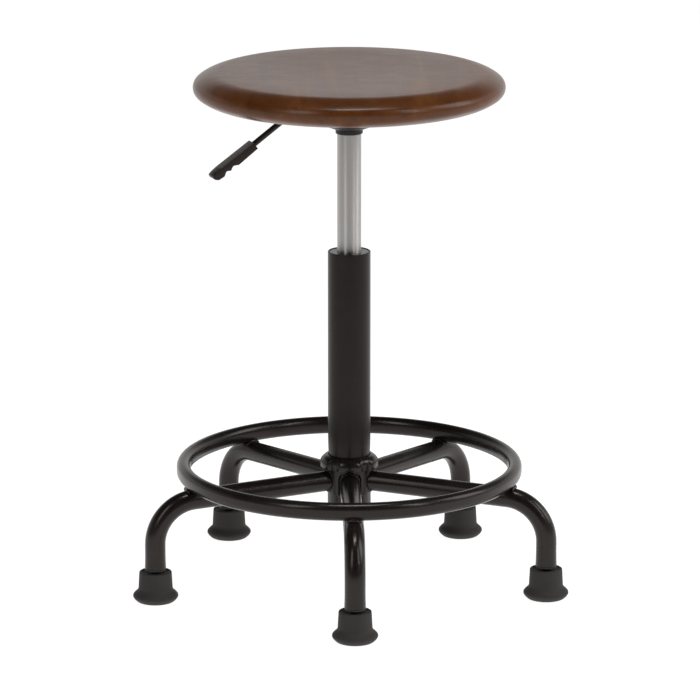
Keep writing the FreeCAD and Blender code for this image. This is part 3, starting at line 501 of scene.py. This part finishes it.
def makeScrews(shape, plate):
    under = plate["seatBottom"] - plate["gauge"] - shape["washerGauge"]
    screw = turned([
        (0, under - shape["headDepth"]),
        (shape["head"], under - shape["headDepth"] * 0.75, 1.4),
        (shape["head"], under, 0.3),
        (shape["shank"], under),
        (shape["shank"], under + shape["length"] * 0.8),
        (0, under + shape["length"]),
    ], steps=32)
    head = objectFrom("screw", screw)
    size = Matrix.Diagonal((shape["crossLength"], shape["crossWidth"], shape["crossDepth"] * 2, 1))
    for quarter in range(2):
        place = Matrix.Translation((0, 0, under - shape["headDepth"])) @ turnedTo(quarterTurn * quarter)
        carved(head, block(place @ size))
    bore, upper = shape["shank"] + 0.1, under + shape["washerGauge"]
    screws, washers = [], []
    for index in range(shape["count"]):
        angle = math.radians(plate["angle"]) + fullTurn / shape["count"] * (index + 0.5)
        reach = shape["square"] / math.sqrt(2)
        place = Matrix.Translation((reach * math.cos(angle), reach * math.sin(angle), 0))
        one = bmesh.new()
        one.from_mesh(head.data)
        bmesh.ops.scale(one, vec=(1 / mm, 1 / mm, 1 / mm), verts=one.verts)
        screws.append(moved(one, place @ turnedTo(index * 0.7)))
        ring = turned([
            (bore, under), (shape["washer"], under, 0.3), (shape["washer"], upper), (bore, upper),
        ], closed=True, steps=40)
        washers.append(moved(ring, place))
    bpy.data.objects.remove(head)
    finished(objectFrom("seat_screw_set", joined(screws)), zincSteel, "seat_assembly", "seat_screws")
    finished(objectFrom("washer_set", joined(washers)), zincSteel, "seat_assembly", "screw_washers")


makePlate(plateShape)
makeScrews(screwShape, plateShape)
print("seat plate made")


# lever rod and handle

leverShape = {
    "height": 565.5, "radius": 3.4, "innerEnd": 4.0, "corner": 77.1, "bend": 25.0, "droop": 35.0, "run": 75.0,
    "angle": 200.0, "pivotRadius": 26.0, "pivotHeight": 558.4, "barrelRadius": 4.3, "barrelWidth": 10.0,
}
handleShape = {
    "start": 50.5, "length": 62.0, "width": 16.0, "thickness": 8.6, "notch": 2.9, "nose": 3.4, "edge": 1.1,
    "swell": 0.8,
}


def makeLever(shape):
    droop = math.radians(shape["droop"])
    step = shape["bend"] * math.tan(droop / 2)
    height = shape["height"]
    mesh = bmesh.new()
    sideways = Matrix.Translation((-shape["innerEnd"], 0, height)) @ Matrix.Rotation(quarterTurn, 4, "Y")
    bmesh.ops.create_circle(mesh, segments=28, radius=shape["radius"], cap_ends=True, matrix=sideways)
    ring = mesh.edges[:]
    ring = extruded(mesh, ring, (shape["corner"] - step + shape["innerEnd"], 0, 0))
    ring = bent(mesh, ring, (shape["corner"] - step, 0, height - shape["bend"]), (0, 1, 0), droop, 10)
    ring = extruded(mesh, ring, Vector((math.cos(droop), 0, -math.sin(droop))) * (shape["run"] - step))
    bmesh.ops.contextual_create(mesh, geom=ring)
    barrel = bmesh.new()
    bmesh.ops.create_cone(barrel, cap_ends=True, segments=28, radius1=shape["barrelRadius"],
                          radius2=shape["barrelRadius"], depth=shape["barrelWidth"])
    moved(barrel, Matrix.Translation((shape["pivotRadius"], 0, shape["pivotHeight"]))
          @ Matrix.Rotation(quarterTurn, 4, "X"))
    whole = moved(joined([mesh, barrel]), turnedTo(math.radians(shape["angle"])))
    finished(objectFrom("lever_bar", whole), leverPaint, "lever_assembly", "lever_rod")


def makeHandle(shape, lever):
    half = shape["thickness"] / 2
    end = shape["length"]
    swell = shape["swell"]
    notch = shape["notch"] - half
    points = [
        (0, -half), (end * 0.44, -half - swell, 3.0), (end * 0.47, -half - swell, 0.7),
        (end * 0.57, notch, 2.4), (end * 0.65, -half - swell / 2, 1.1), (end * 0.73, notch, 2.0),
        (end * 0.81, -half - swell, 1.1), (end * 0.94, -half, 1.0), (end, shape["nose"] - half, 1.0),
        (end, half - swell, 1.4), (end * 0.87, half + swell, 6.0), (0, half),
    ]
    mesh = outline(points, closed=True)
    face = bmesh.ops.contextual_create(mesh, geom=mesh.edges[:])["faces"]
    pushed(mesh, face, (0, shape["width"], 0))
    bmesh.ops.translate(mesh, vec=(0, -shape["width"] / 2, 0), verts=mesh.verts)
    rims = [edge for edge in mesh.edges if abs(edge.verts[0].co.y - edge.verts[1].co.y) < 0.01]
    softened(mesh, rims, shape["edge"], clamp=True)
    droop = math.radians(lever["droop"])
    place = turnedTo(math.radians(lever["angle"])) @ Matrix.Translation((
        lever["corner"] + shape["start"] * math.cos(droop), 0,
        lever["height"] - shape["start"] * math.sin(droop))) @ Matrix.Rotation(droop, 4, "Y")
    moved(mesh, place)
    finished(objectFrom("lever_grip", mesh, 30), handlePlastic, "lever_assembly", "lever_handle")


makeLever(leverShape)
makeHandle(handleShape, leverShape)
print("lever made")


# gas spring and column

springShape = {
    "tubeRadius": 14.0, "tubeWall": 1.5, "tubeBottom": 262.0, "taperBottom": 541.5, "topRadius": 13.3,
    "tubeTop": 558.0, "valveOpening": 6.0, "mouth": 7.5,
}
columnShape = {
    "radius": 25.0, "wall": 1.8, "top": 401.0, "bottom": 95.0, "neckTop": 172.0, "neck": 154.0,
    "neckRadius": 24.15, "footRadius": 23.2, "bushSink": 0.6, "bushCollar": 6.0, "bushBottom": 292.0,
    "bushSleeve": 17.0, "ribs": 6, "ribWidth": 2.4,
}


def makeSpring(shape):
    wall = shape["tubeWall"]
    tube = turned([
        (shape["mouth"], shape["tubeBottom"]), (shape["tubeRadius"], shape["tubeBottom"], 0.8),
        (shape["tubeRadius"], shape["taperBottom"]), (shape["topRadius"], shape["tubeTop"], 0.6),
        (shape["valveOpening"], shape["tubeTop"]), (shape["valveOpening"], shape["tubeTop"] - wall),
        (shape["topRadius"] - wall, shape["tubeTop"] - wall),
        (shape["tubeRadius"] - wall, shape["taperBottom"]),
        (shape["tubeRadius"] - wall, shape["tubeBottom"] + wall),
        (shape["mouth"], shape["tubeBottom"] + wall),
    ], closed=True, steps=80)
    finished(objectFrom("pressure_tube_ground", tube), brushedTube, "seat_assembly", "pressure_tube")


def makeColumn(shape, spring):
    wall = shape["wall"]
    top = shape["top"]
    inner = shape["radius"] - wall
    tube = turned([
        (shape["footRadius"] - wall, shape["bottom"]), (shape["footRadius"], shape["bottom"], 0.5),
        (shape["neckRadius"], shape["neck"], 2.0), (shape["radius"], shape["neckTop"], 4.0),
        (shape["radius"], top, 0.8), (inner, top, 0.4),
        (inner, shape["neckTop"]), (shape["neckRadius"] - wall, shape["neck"]),
    ], closed=True)
    finished(objectFrom("column_tube", tube), columnPaint, "base", "outer_tube")
    bore = spring["tubeRadius"] + 0.05
    bushTop = top - shape["bushSink"]
    bush = turned([
        (bore, shape["bushBottom"]), (shape["bushSleeve"], shape["bushBottom"]),
        (shape["bushSleeve"], bushTop - shape["bushCollar"]), (inner, bushTop - shape["bushCollar"]),
        (inner, bushTop, 0.8), (bore, bushTop, 0.9),
    ], closed=True)
    reach = inner - shape["bushSleeve"]
    height = bushTop - shape["bushCollar"] - shape["bushBottom"]
    size = Matrix.Diagonal((reach, shape["ribWidth"], height, 1))
    place = Matrix.Translation((shape["bushSleeve"] + reach / 2 - 0.2, 0, shape["bushBottom"] + height / 2))
    ribs = [block(turnedTo(fullTurn / shape["ribs"] * index) @ place @ size)
            for index in range(shape["ribs"])]
    finished(objectFrom("bush_ring", joined([bush] + ribs)), bushPlastic, "base", "guide_bush")


makeSpring(springShape)
makeColumn(columnShape, springShape)
print("gas spring and column made")


# hub tube and moulded hub cover

hubShape = {"radius": 25.5, "bottom": 97.0, "top": 152.5}
coverShape = {
    "radius": 28.8, "bottom": 111.0, "top": 156.5, "bulge": 3.6, "lip": 25.2, "inside": 25.9,
    "ceiling": 152.9, "hoodRadius": 34.4, "hoodBottom": 141.3, "hoodHalf": 14.7, "hoodTopHalf": 14.0,
    "hoodFall": 7.84, "hoodEdge": 4.4, "windowHalf": 13.6, "windowTop": 143.4, "sectors": 5,
    "crownIn": 10.2, "crownDown": 9.6, "crownSteps": 8, "archSteps": 24, "cutFrom": 21.5, "cutDepth": 18.0,
}


def makeHubTube(shape, column):
    slope = (column["neckRadius"] - column["footRadius"]) / (column["neck"] - column["bottom"])
    low = column["footRadius"] + slope * (shape["bottom"] - column["bottom"])
    high = column["footRadius"] + slope * (shape["top"] - column["bottom"])
    tube = turned([
        (low, shape["bottom"]), (shape["radius"], shape["bottom"], 0.6), (shape["radius"], shape["top"]),
        (high, shape["top"]),
    ], closed=True)
    finished(objectFrom("hub_sleeve", tube), framePaint, "base", "hub_tube")


def arcPoint(centre, radius, angle):
    return (centre[0] + radius * math.cos(angle), centre[1] + radius * math.sin(angle))


def coverRows(shape):
    # (body radius, body height, hood radius, hood height, hood half width) from the bottom edge round
    body, hood = shape["radius"], shape["hoodRadius"]
    wide, narrow = shape["hoodHalf"], shape["hoodTopHalf"]
    bottom, low, top = shape["bottom"], shape["hoodBottom"], shape["top"]
    rows = [(body - 0.7, bottom), (body - 0.2, bottom + 0.2), (body, bottom + 0.8)]
    rows += [(body, bottom + (low - bottom) * share) for share in (0.3, 0.55, 0.8, 0.97)]
    rows = [(r, z, r, z, wide) for r, z in rows]
    for reach, rise in ((0.0, 0.0), (0.7, 0.3), (0.92, 0.9), (1.0, 2.0)):
        rows.append((body + shape["bulge"] * reach, low + rise, body + (hood - body) * reach, low + rise,
                     wide))
    face = top - shape["hoodFall"]
    centre = (hood - shape["crownIn"], top - shape["crownDown"])
    start = math.atan2(face - centre[1], hood - centre[0])
    end = math.atan2(top - centre[1], shape["lip"] - centre[0])
    startRadius = math.hypot(face - centre[1], hood - centre[0])
    endRadius = math.hypot(top - centre[1], shape["lip"] - centre[0])
    shoulder = body + shape["bulge"] - shape["lip"] + 0.2
    bodyCentre = (shape["lip"] - 0.2, top - shoulder)
    lipAngle = math.acos((shape["lip"] - bodyCentre[0]) / shoulder)
    for step in range(shape["crownSteps"] + 1):
        share = step / shape["crownSteps"]
        radius = startRadius + (endRadius - startRadius) * share
        hoodPoint = arcPoint(centre, radius, start + (end - start) * share)
        bodyPoint = arcPoint(bodyCentre, shoulder, lipAngle * share)
        half = wide + (narrow - wide) * (hoodPoint[1] - low) / (top - low)
        rows.append((*bodyPoint, *hoodPoint, half))
    for r, z, half in ((shape["lip"], shape["ceiling"], narrow), (shape["inside"], shape["ceiling"], narrow),
                       (shape["inside"], 138.0, wide), (shape["inside"], 125.0, wide),
                       (shape["inside"], bottom, wide)):
        rows.append((r, z, r, z, half))
    rows.append(rows[0])
    return rows


def coverColumns(shape):
    # (kind, place across the hood, share of the hood's height) from the middle of a hood to its sector's edge
    edge = shape["hoodEdge"]
    drop = shape["hoodRadius"] - shape["radius"]
    columns = [("hood", share / 8, 0.0, 1.0) for share in range(9)]
    for step in range(1, 7):
        angle = quarterTurn * step / 6
        columns.append(("edge", 1.0, edge * (1 - math.sin(angle)), 1 - edge * (1 - math.cos(angle)) / drop))
    columns.append(("edge", 1.0, -0.1, 0.08))
    columns.append(("edge", 1.0, -0.25, 0.0))
    columns += [("body", share / 3, 0.0, 0.0) for share in (1, 2, 3)]
    return columns


def makeCover(shape):
    rows = coverRows(shape)
    columns = coverColumns(shape)
    edge = shape["hoodEdge"]
    half = fullTurn / shape["sectors"] / 2
    across, along = 2 * (len(columns) - 1), len(rows) - 1
    sector = bmesh.new()
    bmesh.ops.create_grid(sector, x_segments=across, y_segments=along, size=1.0)
    for vert in sector.verts:
        column = round((vert.co.x + 1) / 2 * across) - across // 2
        row = round((vert.co.y + 1) / 2 * along)
        kind, share, inset, lift = columns[abs(column)]
        bodyRadius, bodyHeight, hoodRadius, hoodHeight, width = rows[row]
        radius = bodyRadius + (hoodRadius - bodyRadius) * lift
        height = bodyHeight + (hoodHeight - bodyHeight) * lift
        if kind == "hood":
            y = share * (width - edge)
        elif kind == "edge":
            y = width - inset
        else:
            wall = math.asin((width + 0.25) / bodyRadius)
            y = bodyRadius * math.sin(wall + (half - wall) * share)
        x = math.sqrt(radius ** 2 - y ** 2)
        vert.co = (x, math.copysign(y, column), height)
    pieces = []
    for index in range(shape["sectors"]):
        pieces.append(moved(sector.copy(), turnedTo(2 * half * index - quarterTurn)))
    sector.free()
    whole = joined(pieces)
    bmesh.ops.remove_doubles(whole, verts=whole.verts, dist=0.02)
    cover = objectFrom("hub_cover_moulding", whole, 32)
    opening, count = shape["windowHalf"], shape["archSteps"]
    arch = [arcPoint((0, shape["windowTop"] - opening), opening, math.pi * step / count)
            for step in range(count + 1)]
    arch = [(opening, shape["bottom"] - 2)] + arch + [(-opening, shape["bottom"] - 2)]
    cutters = []
    for index in range(shape["sectors"]):
        window = bmesh.new()
        face = window.faces.new([window.verts.new((shape["cutFrom"], y, z)) for y, z in arch])
        pushed(window, [face], (shape["cutDepth"], 0, 0))
        cutters.append(moved(window, turnedTo(2 * half * index - quarterTurn)))
    carved(cover, joined(cutters), 32)
    finished(cover, coverPlastic, "base", "hub_cover")


makeHubTube(hubShape, columnShape)
makeCover(coverShape)
print("hub made")


# legs, their inserts and the welds at the hub

legShape = {
    "radius": 12.0, "wall": 1.5, "height": 118.4, "slope": 2.5, "bend": 50.0, "footCircle": 240.0,
    "end": 39.5, "lip": 0.6, "flare": 0.5, "sides": 48, "bendSteps": 22, "count": 5, "firstAngle": -90.0,
}
weldShape = {"hubBead": 1.7, "ripples": 21, "ripple": 0.22, "standOff": 0.3, "sides": 10, "steps": 126}


def legAngle(index):
    return math.radians(legShape["firstAngle"]) + fullTurn / legShape["count"] * index


def legBend(shape):
    # slope, centre of the bend and the point where the sloping run meets it
    slope = math.radians(shape["slope"])
    low = shape["height"] - shape["bend"] * math.cos(slope)
    centre = Vector((shape["footCircle"] - shape["bend"], 0, low))
    return slope, centre, centre + Vector((math.sin(slope), 0, math.cos(slope))) * shape["bend"]


def legHeight(shape, reach):
    # height of the sloping centreline at a distance from the axis
    slope, _, meeting = legBend(shape)
    return meeting.z + (meeting.x - reach) * math.tan(slope)


def legSkin(mesh, radius, shape, flare):
    # circle pushed out from the hub, round the bend and down; returns its first and last rings
    before = set(mesh.edges)
    slope, centre, meeting = legBend(shape)
    start = Vector((hubShape["radius"] - 2, 0, legHeight(shape, hubShape["radius"] - 2)))
    sideways = Matrix.Translation(start) @ Matrix.Rotation(quarterTurn + slope, 4, "Y")
    bmesh.ops.create_circle(mesh, segments=shape["sides"], radius=radius, matrix=sideways)
    first = [edge for edge in mesh.edges if edge not in before]
    ring = extruded(mesh, first, meeting - start)
    ring = bent(mesh, ring, centre, (0, 1, 0), quarterTurn - slope, shape["bendSteps"])
    drop = centre.z - shape["end"]
    for share, wider in ((0.4, 0.0), (0.3, 0.3), (0.24, 0.8), (0.06, 1.0)):  # shares of drop and flare
        ring = extruded(mesh, ring, (0, 0, -drop * share))
        for vert in ringVerts(ring):
            out = Vector((vert.co.x - shape["footCircle"], vert.co.y, 0)).normalized()
            vert.co.xy = Vector((shape["footCircle"], 0)) + out.xy * (radius + flare * wider)
    for vert in ringVerts(first):
        vert.co.x = math.sqrt(hubShape["radius"] ** 2 - vert.co.y ** 2)
    return first, ring


def makeLeg(index, shape):
    mesh = bmesh.new()
    outer = legSkin(mesh, shape["radius"], shape, shape["flare"])
    inner = legSkin(mesh, shape["radius"] - shape["wall"], shape, 0.0)
    for outerRing, innerRing in zip(outer, inner):
        bmesh.ops.bridge_loops(mesh, edges=list(outerRing) + list(innerRing))
    foot = Vector((shape["footCircle"], 0, shape["end"]))
    lips = [edge for edge in mesh.edges if all(abs(vert.co.z - shape["end"]) < 0.01 for vert in edge.verts)
            and all((vert.co - foot).length > shape["radius"] - 0.5 for vert in edge.verts)]
    softened(mesh, lips, shape["lip"])
    moved(mesh, turnedTo(legAngle(index)))
    finished(objectFrom("leg_tube_" + str(index + 1), mesh), framePaint, "base", "leg_" + str(index + 1))


def makeHubWelds(shape, leg):
    # a rippled bead round each leg where it meets the hub
    beads = []
    reach = leg["radius"] + shape["standOff"]
    place = Matrix.Translation((0, 0, reach)) @ Matrix.Rotation(quarterTurn, 4, "X")
    for index in range(leg["count"]):
        bead = bmesh.new()
        bmesh.ops.create_circle(bead, segments=shape["sides"], radius=shape["hubBead"])
        moved(bead, place)
        bmesh.ops.spin(bead, geom=bead.verts[:] + bead.edges[:], cent=(0, 0, 0), axis=(1, 0, 0),
                       dvec=(0, 0, 0), angle=fullTurn, steps=shape["steps"], use_merge=True,
                       use_duplicate=False)
        for vert in bead.verts:
            around = math.atan2(vert.co.z, vert.co.y)
            pulse = 1 + shape["ripple"] * math.sin(around * shape["ripples"] + index)
            middle = Vector((0, math.cos(around), math.sin(around))) * reach
            vert.co = middle + (vert.co - middle) * pulse
            vert.co.x += math.sqrt(hubShape["radius"] ** 2 - vert.co.y ** 2) + shape["standOff"]
            vert.co.z += legHeight(leg, hubShape["radius"])
        beads.append(moved(bead, turnedTo(legAngle(index))))
    finished(objectFrom("hub_weld_beads", joined(beads)), framePaint, "base", "hub_welds")


for legIndex in range(legShape["count"]):
    makeLeg(legIndex, legShape)
makeHubWelds(weldShape, legShape)
print("legs made")


# foot ring and its beads

ringShape = {
    "radius": 195.0, "height": 140.2, "width": 16.0, "depth": 21.0, "beadRadius": 2.3, "beadLength": 18.0,
    "beadInset": 2.4, "beadTall": 1.15, "beadLump": 0.35, "beadRipple": 0.10, "beadLift": 0.9,
    "beadWrap": 0.75,
}


def makeRing(shape):
    half = shape["width"] / 2
    straight = shape["depth"] / 2 - half
    section = [arcPoint((shape["radius"], shape["height"] + straight), half, math.pi * step / 14)
               for step in range(15)]
    section += [arcPoint((shape["radius"], shape["height"] - straight), half, math.pi * (1 + step / 14))
                for step in range(15)]
    finished(objectFrom("foot_ring_tube", turned(section, closed=True, steps=240), 60), framePaint, "base",
             "foot_ring")


def makeRingWelds(shape, leg):
    # a lumpy bead on each side of the ring, wrapped over the leg
    beads = []
    for index in range(leg["count"]):
        for side in (-1, 1):
            bead = bmesh.new()
            bmesh.ops.create_uvsphere(bead, u_segments=28, v_segments=20, radius=1.0)
            moved(bead, Matrix.Rotation(quarterTurn, 4, "X"))
            for vert in bead.verts:
                along = vert.co.y * shape["beadLength"] / 2
                spot = Vector((along * 0.45, vert.co.x * 0.8, 7.3 * index + 3.1 * side))
                lump = 1 + shape["beadLump"] * noise.noise(spot)
                ripple = 1 + shape["beadRipple"] * math.sin(along * 3.2)
                x = vert.co.x * shape["beadRadius"] * lump * ripple
                z = vert.co.z * shape["beadRadius"] * shape["beadTall"] * lump * ripple
                fall = leg["radius"] - math.sqrt(leg["radius"] ** 2 - along ** 2)
                reach = shape["radius"] + side * (shape["width"] / 2 - shape["beadInset"])
                height = leg["height"] + leg["radius"] + shape["beadLift"] - fall * shape["beadWrap"] + z
                vert.co = (reach + x, along, height)
            beads.append(moved(bead, turnedTo(legAngle(index))))
    finished(objectFrom("ring_weld_beads", joined(beads), 60), framePaint, "base", "ring_welds")


makeRing(ringShape)
makeRingWelds(ringShape, legShape)
print("foot ring made")


# leg inserts, stems and bell glides

glideShape = {
    "height": 36.0, "rim": 18.9, "waist": 19.8, "flange": 26.6, "flangeHeight": 6.4,
    "foot": 21.0, "dish": 1.2, "stem": 5.5, "stemTop": 60.0, "stemBottom": 16.0,
    "insertFlange": 12.4, "insertGauge": 1.9, "insertTop": 62.0, "steps": 72,
}


def makeFoot(index, shape, leg):
    place = turnedTo(legAngle(index)) @ Matrix.Translation((leg["footCircle"], 0, 0))
    number = str(index + 1)
    body = "swivel_glide_" + number
    flange, level = shape["flange"], shape["flangeHeight"]
    rim, top, sunk = shape["rim"], shape["height"], shape["height"] - shape["dish"]
    stem, low, high = shape["stem"], shape["stemBottom"], shape["stemTop"]
    glide = turned([
        (0, 0), (shape["foot"], 0, 1.5), (flange - 0.9, level - 2.2, 2.2), (flange, level + 0.4, 1.6),
        (flange - 0.7, level + 2.7, 0.6), (flange - 1.5, level + 3.0, 0.25), (flange - 1.9, level + 3.9, 0.5),
        (flange - 3.6, level + 5.4, 1.2), (shape["waist"] + 0.3, level + 8.0, 2.2), (rim, top, 1.2),
        (rim - 2.6, top, 0.9), (rim - 4.0, sunk, 0.8), (stem, sunk), (stem, low), (0, low),
    ], steps=shape["steps"])
    finished(objectFrom("bell_glide_" + number, moved(glide, place), 50), glideRubber, body,
             "glide_" + number)
    pin = turned([(0, low), (stem, low), (stem, high, 1.2), (0, high)], steps=32)
    finished(objectFrom("stem_pin_" + number, moved(pin, place)), stemSteel, body, "glide_stem_" + number)
    bore, below = leg["radius"] - leg["wall"], leg["end"] - shape["insertGauge"]
    insert = turned([
        (stem + 0.05, below), (shape["insertFlange"], below, 0.8), (shape["insertFlange"], leg["end"]),
        (bore, leg["end"]), (bore, shape["insertTop"], 1.2), (stem + 0.05, shape["insertTop"]),
    ], closed=True, steps=48)
    finished(objectFrom("insert_plug_" + number, moved(insert, place)), innerPlastic, "base",
             "leg_insert_" + number)


for legIndex in range(legShape["count"]):
    makeFoot(legIndex, glideShape, legShape)
print("glides made")


# finishes of the CAD nodes that stay

nodeFinishes = {
    "pivot_bracket": platePaint, "pivot_pin": zincSteel, "valve_body": innerSteel, "rod_guide": innerPlastic,
    "rod_seal": sealRubber, "inner_cylinder": innerSteel, "release_pin": zincSteel, "piston_rod": innerSteel,
    "piston": innerPlastic, "retaining_clip": zincSteel, "rod_washer": zincSteel, "foot_plate": columnPaint,
    "bearing_lower_race": innerSteel, "bearing_upper_race": innerSteel, "bearing_balls": innerSteel,
    "bearing_cage": innerPlastic, "rubber_bumper": sealRubber,
}
for name, finish in nodeFinishes.items():
    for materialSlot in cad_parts[name].material_slots:
        materialSlot.material = finish.material
print("CAD nodes dressed")


# floor, world and lights

studio = {
    "floorSize": 30.0, "floorColor": 0.30, "floorGlow": 0.94, "skyStrength": 0.98, "target": (0, 0, 0.34),
    "skyTint": (1.0, 0.985, 0.97),
    "skyBehind": [(0.0, 0.03), (0.42, 0.06), (0.62, 0.50), (1.0, 0.85)],  # front to back
    "skyRight": [(0.0, 0.08), (0.30, 0.03), (0.55, 0.0), (0.85, 0.20), (1.0, 0.26)],  # left to right
    "skyHeight": [(0.34, 1.0), (0.46, 0.12), (1.0, 0.06)],  # share kept from low to high
}
softBoxes = [
    # name, azimuth, elevation, distance, width, height, power
    ("topLeft", -10, 80, 3.0, 0.5, 0.6, 15),
    ("topRight", 50, 80, 3.0, 0.5, 0.6, 11),
    ("leftBox", -40, 32, 3.2, 0.7, 1.9, 18),
    ("rightStrip", 47, 34, 3.2, 0.28, 1.9, 17),
    ("rightBox", 88, 30, 3.4, 1.5, 2.0, 36),
]


def makeFloor(setup):
    mesh = bmesh.new()
    bmesh.ops.create_grid(mesh, x_segments=1, y_segments=1, size=setup["floorSize"] / 2 / mm)
    floor = objectFrom("floor", mesh)
    look = Finish("floor_white", Roughness=0.9, Specular_IOR_Level=0.1, Emission_Color=(1, 1, 1, 1),
                  Emission_Strength=setup["floorGlow"])
    grey = setup["floorColor"]
    shade = look.noise(3.0, 2.0)
    look.paint("Base Color", look.mix(shade, (grey, grey, grey), (grey * 0.99, grey * 0.99, grey * 0.99)))
    floor.data.materials.append(look.material)


def makeWorld(setup):
    world = bpy.data.worlds.new("studio")
    bpy.context.scene.world = world
    world.use_nodes = True
    sky = NodeTree(world.node_tree)
    side = sky.node("SeparateXYZ", inputs={0: sky.node("TexCoord")})
    back, up = side.output(1), side.output(2)
    behind = sky.ramp(back * 0.5 + 0.5, setup["skyBehind"])
    right = sky.ramp(side * 0.5 + 0.5, setup["skyRight"])
    low = sky.ramp(up, setup["skyHeight"])
    light = (behind + right) * low
    background = world.node_tree.nodes["Background"]
    sky.feed(background.inputs["Color"], sky.mix(light.limited(), (0, 0, 0), setup["skyTint"]))
    sky.feed(background.inputs["Strength"], setup["skyStrength"])


def makeLights(boxes, target):
    for name, azimuth, elevation, distance, width, height, power in boxes:
        data = bpy.data.lights.new(name, "AREA")
        data.shape = "RECTANGLE"
        data.size = width
        data.size_y = height
        data.energy = power
        lamp = bpy.data.objects.new(name, data)
        turn, rise = math.radians(azimuth), math.radians(elevation)
        out = Vector((math.sin(turn) * math.cos(rise), -math.cos(turn) * math.cos(rise), math.sin(rise)))
        lamp.location = Vector(target) + out * distance
        lamp.rotation_euler = out.to_track_quat("Z", "Y").to_euler()
        bpy.context.scene.collection.objects.link(lamp)


makeFloor(studio)
makeWorld(studio)
makeLights(softBoxes, studio["target"])
view = bpy.context.scene.view_settings
view.view_transform = "Standard"
view.look = "None"
print("studio lit")
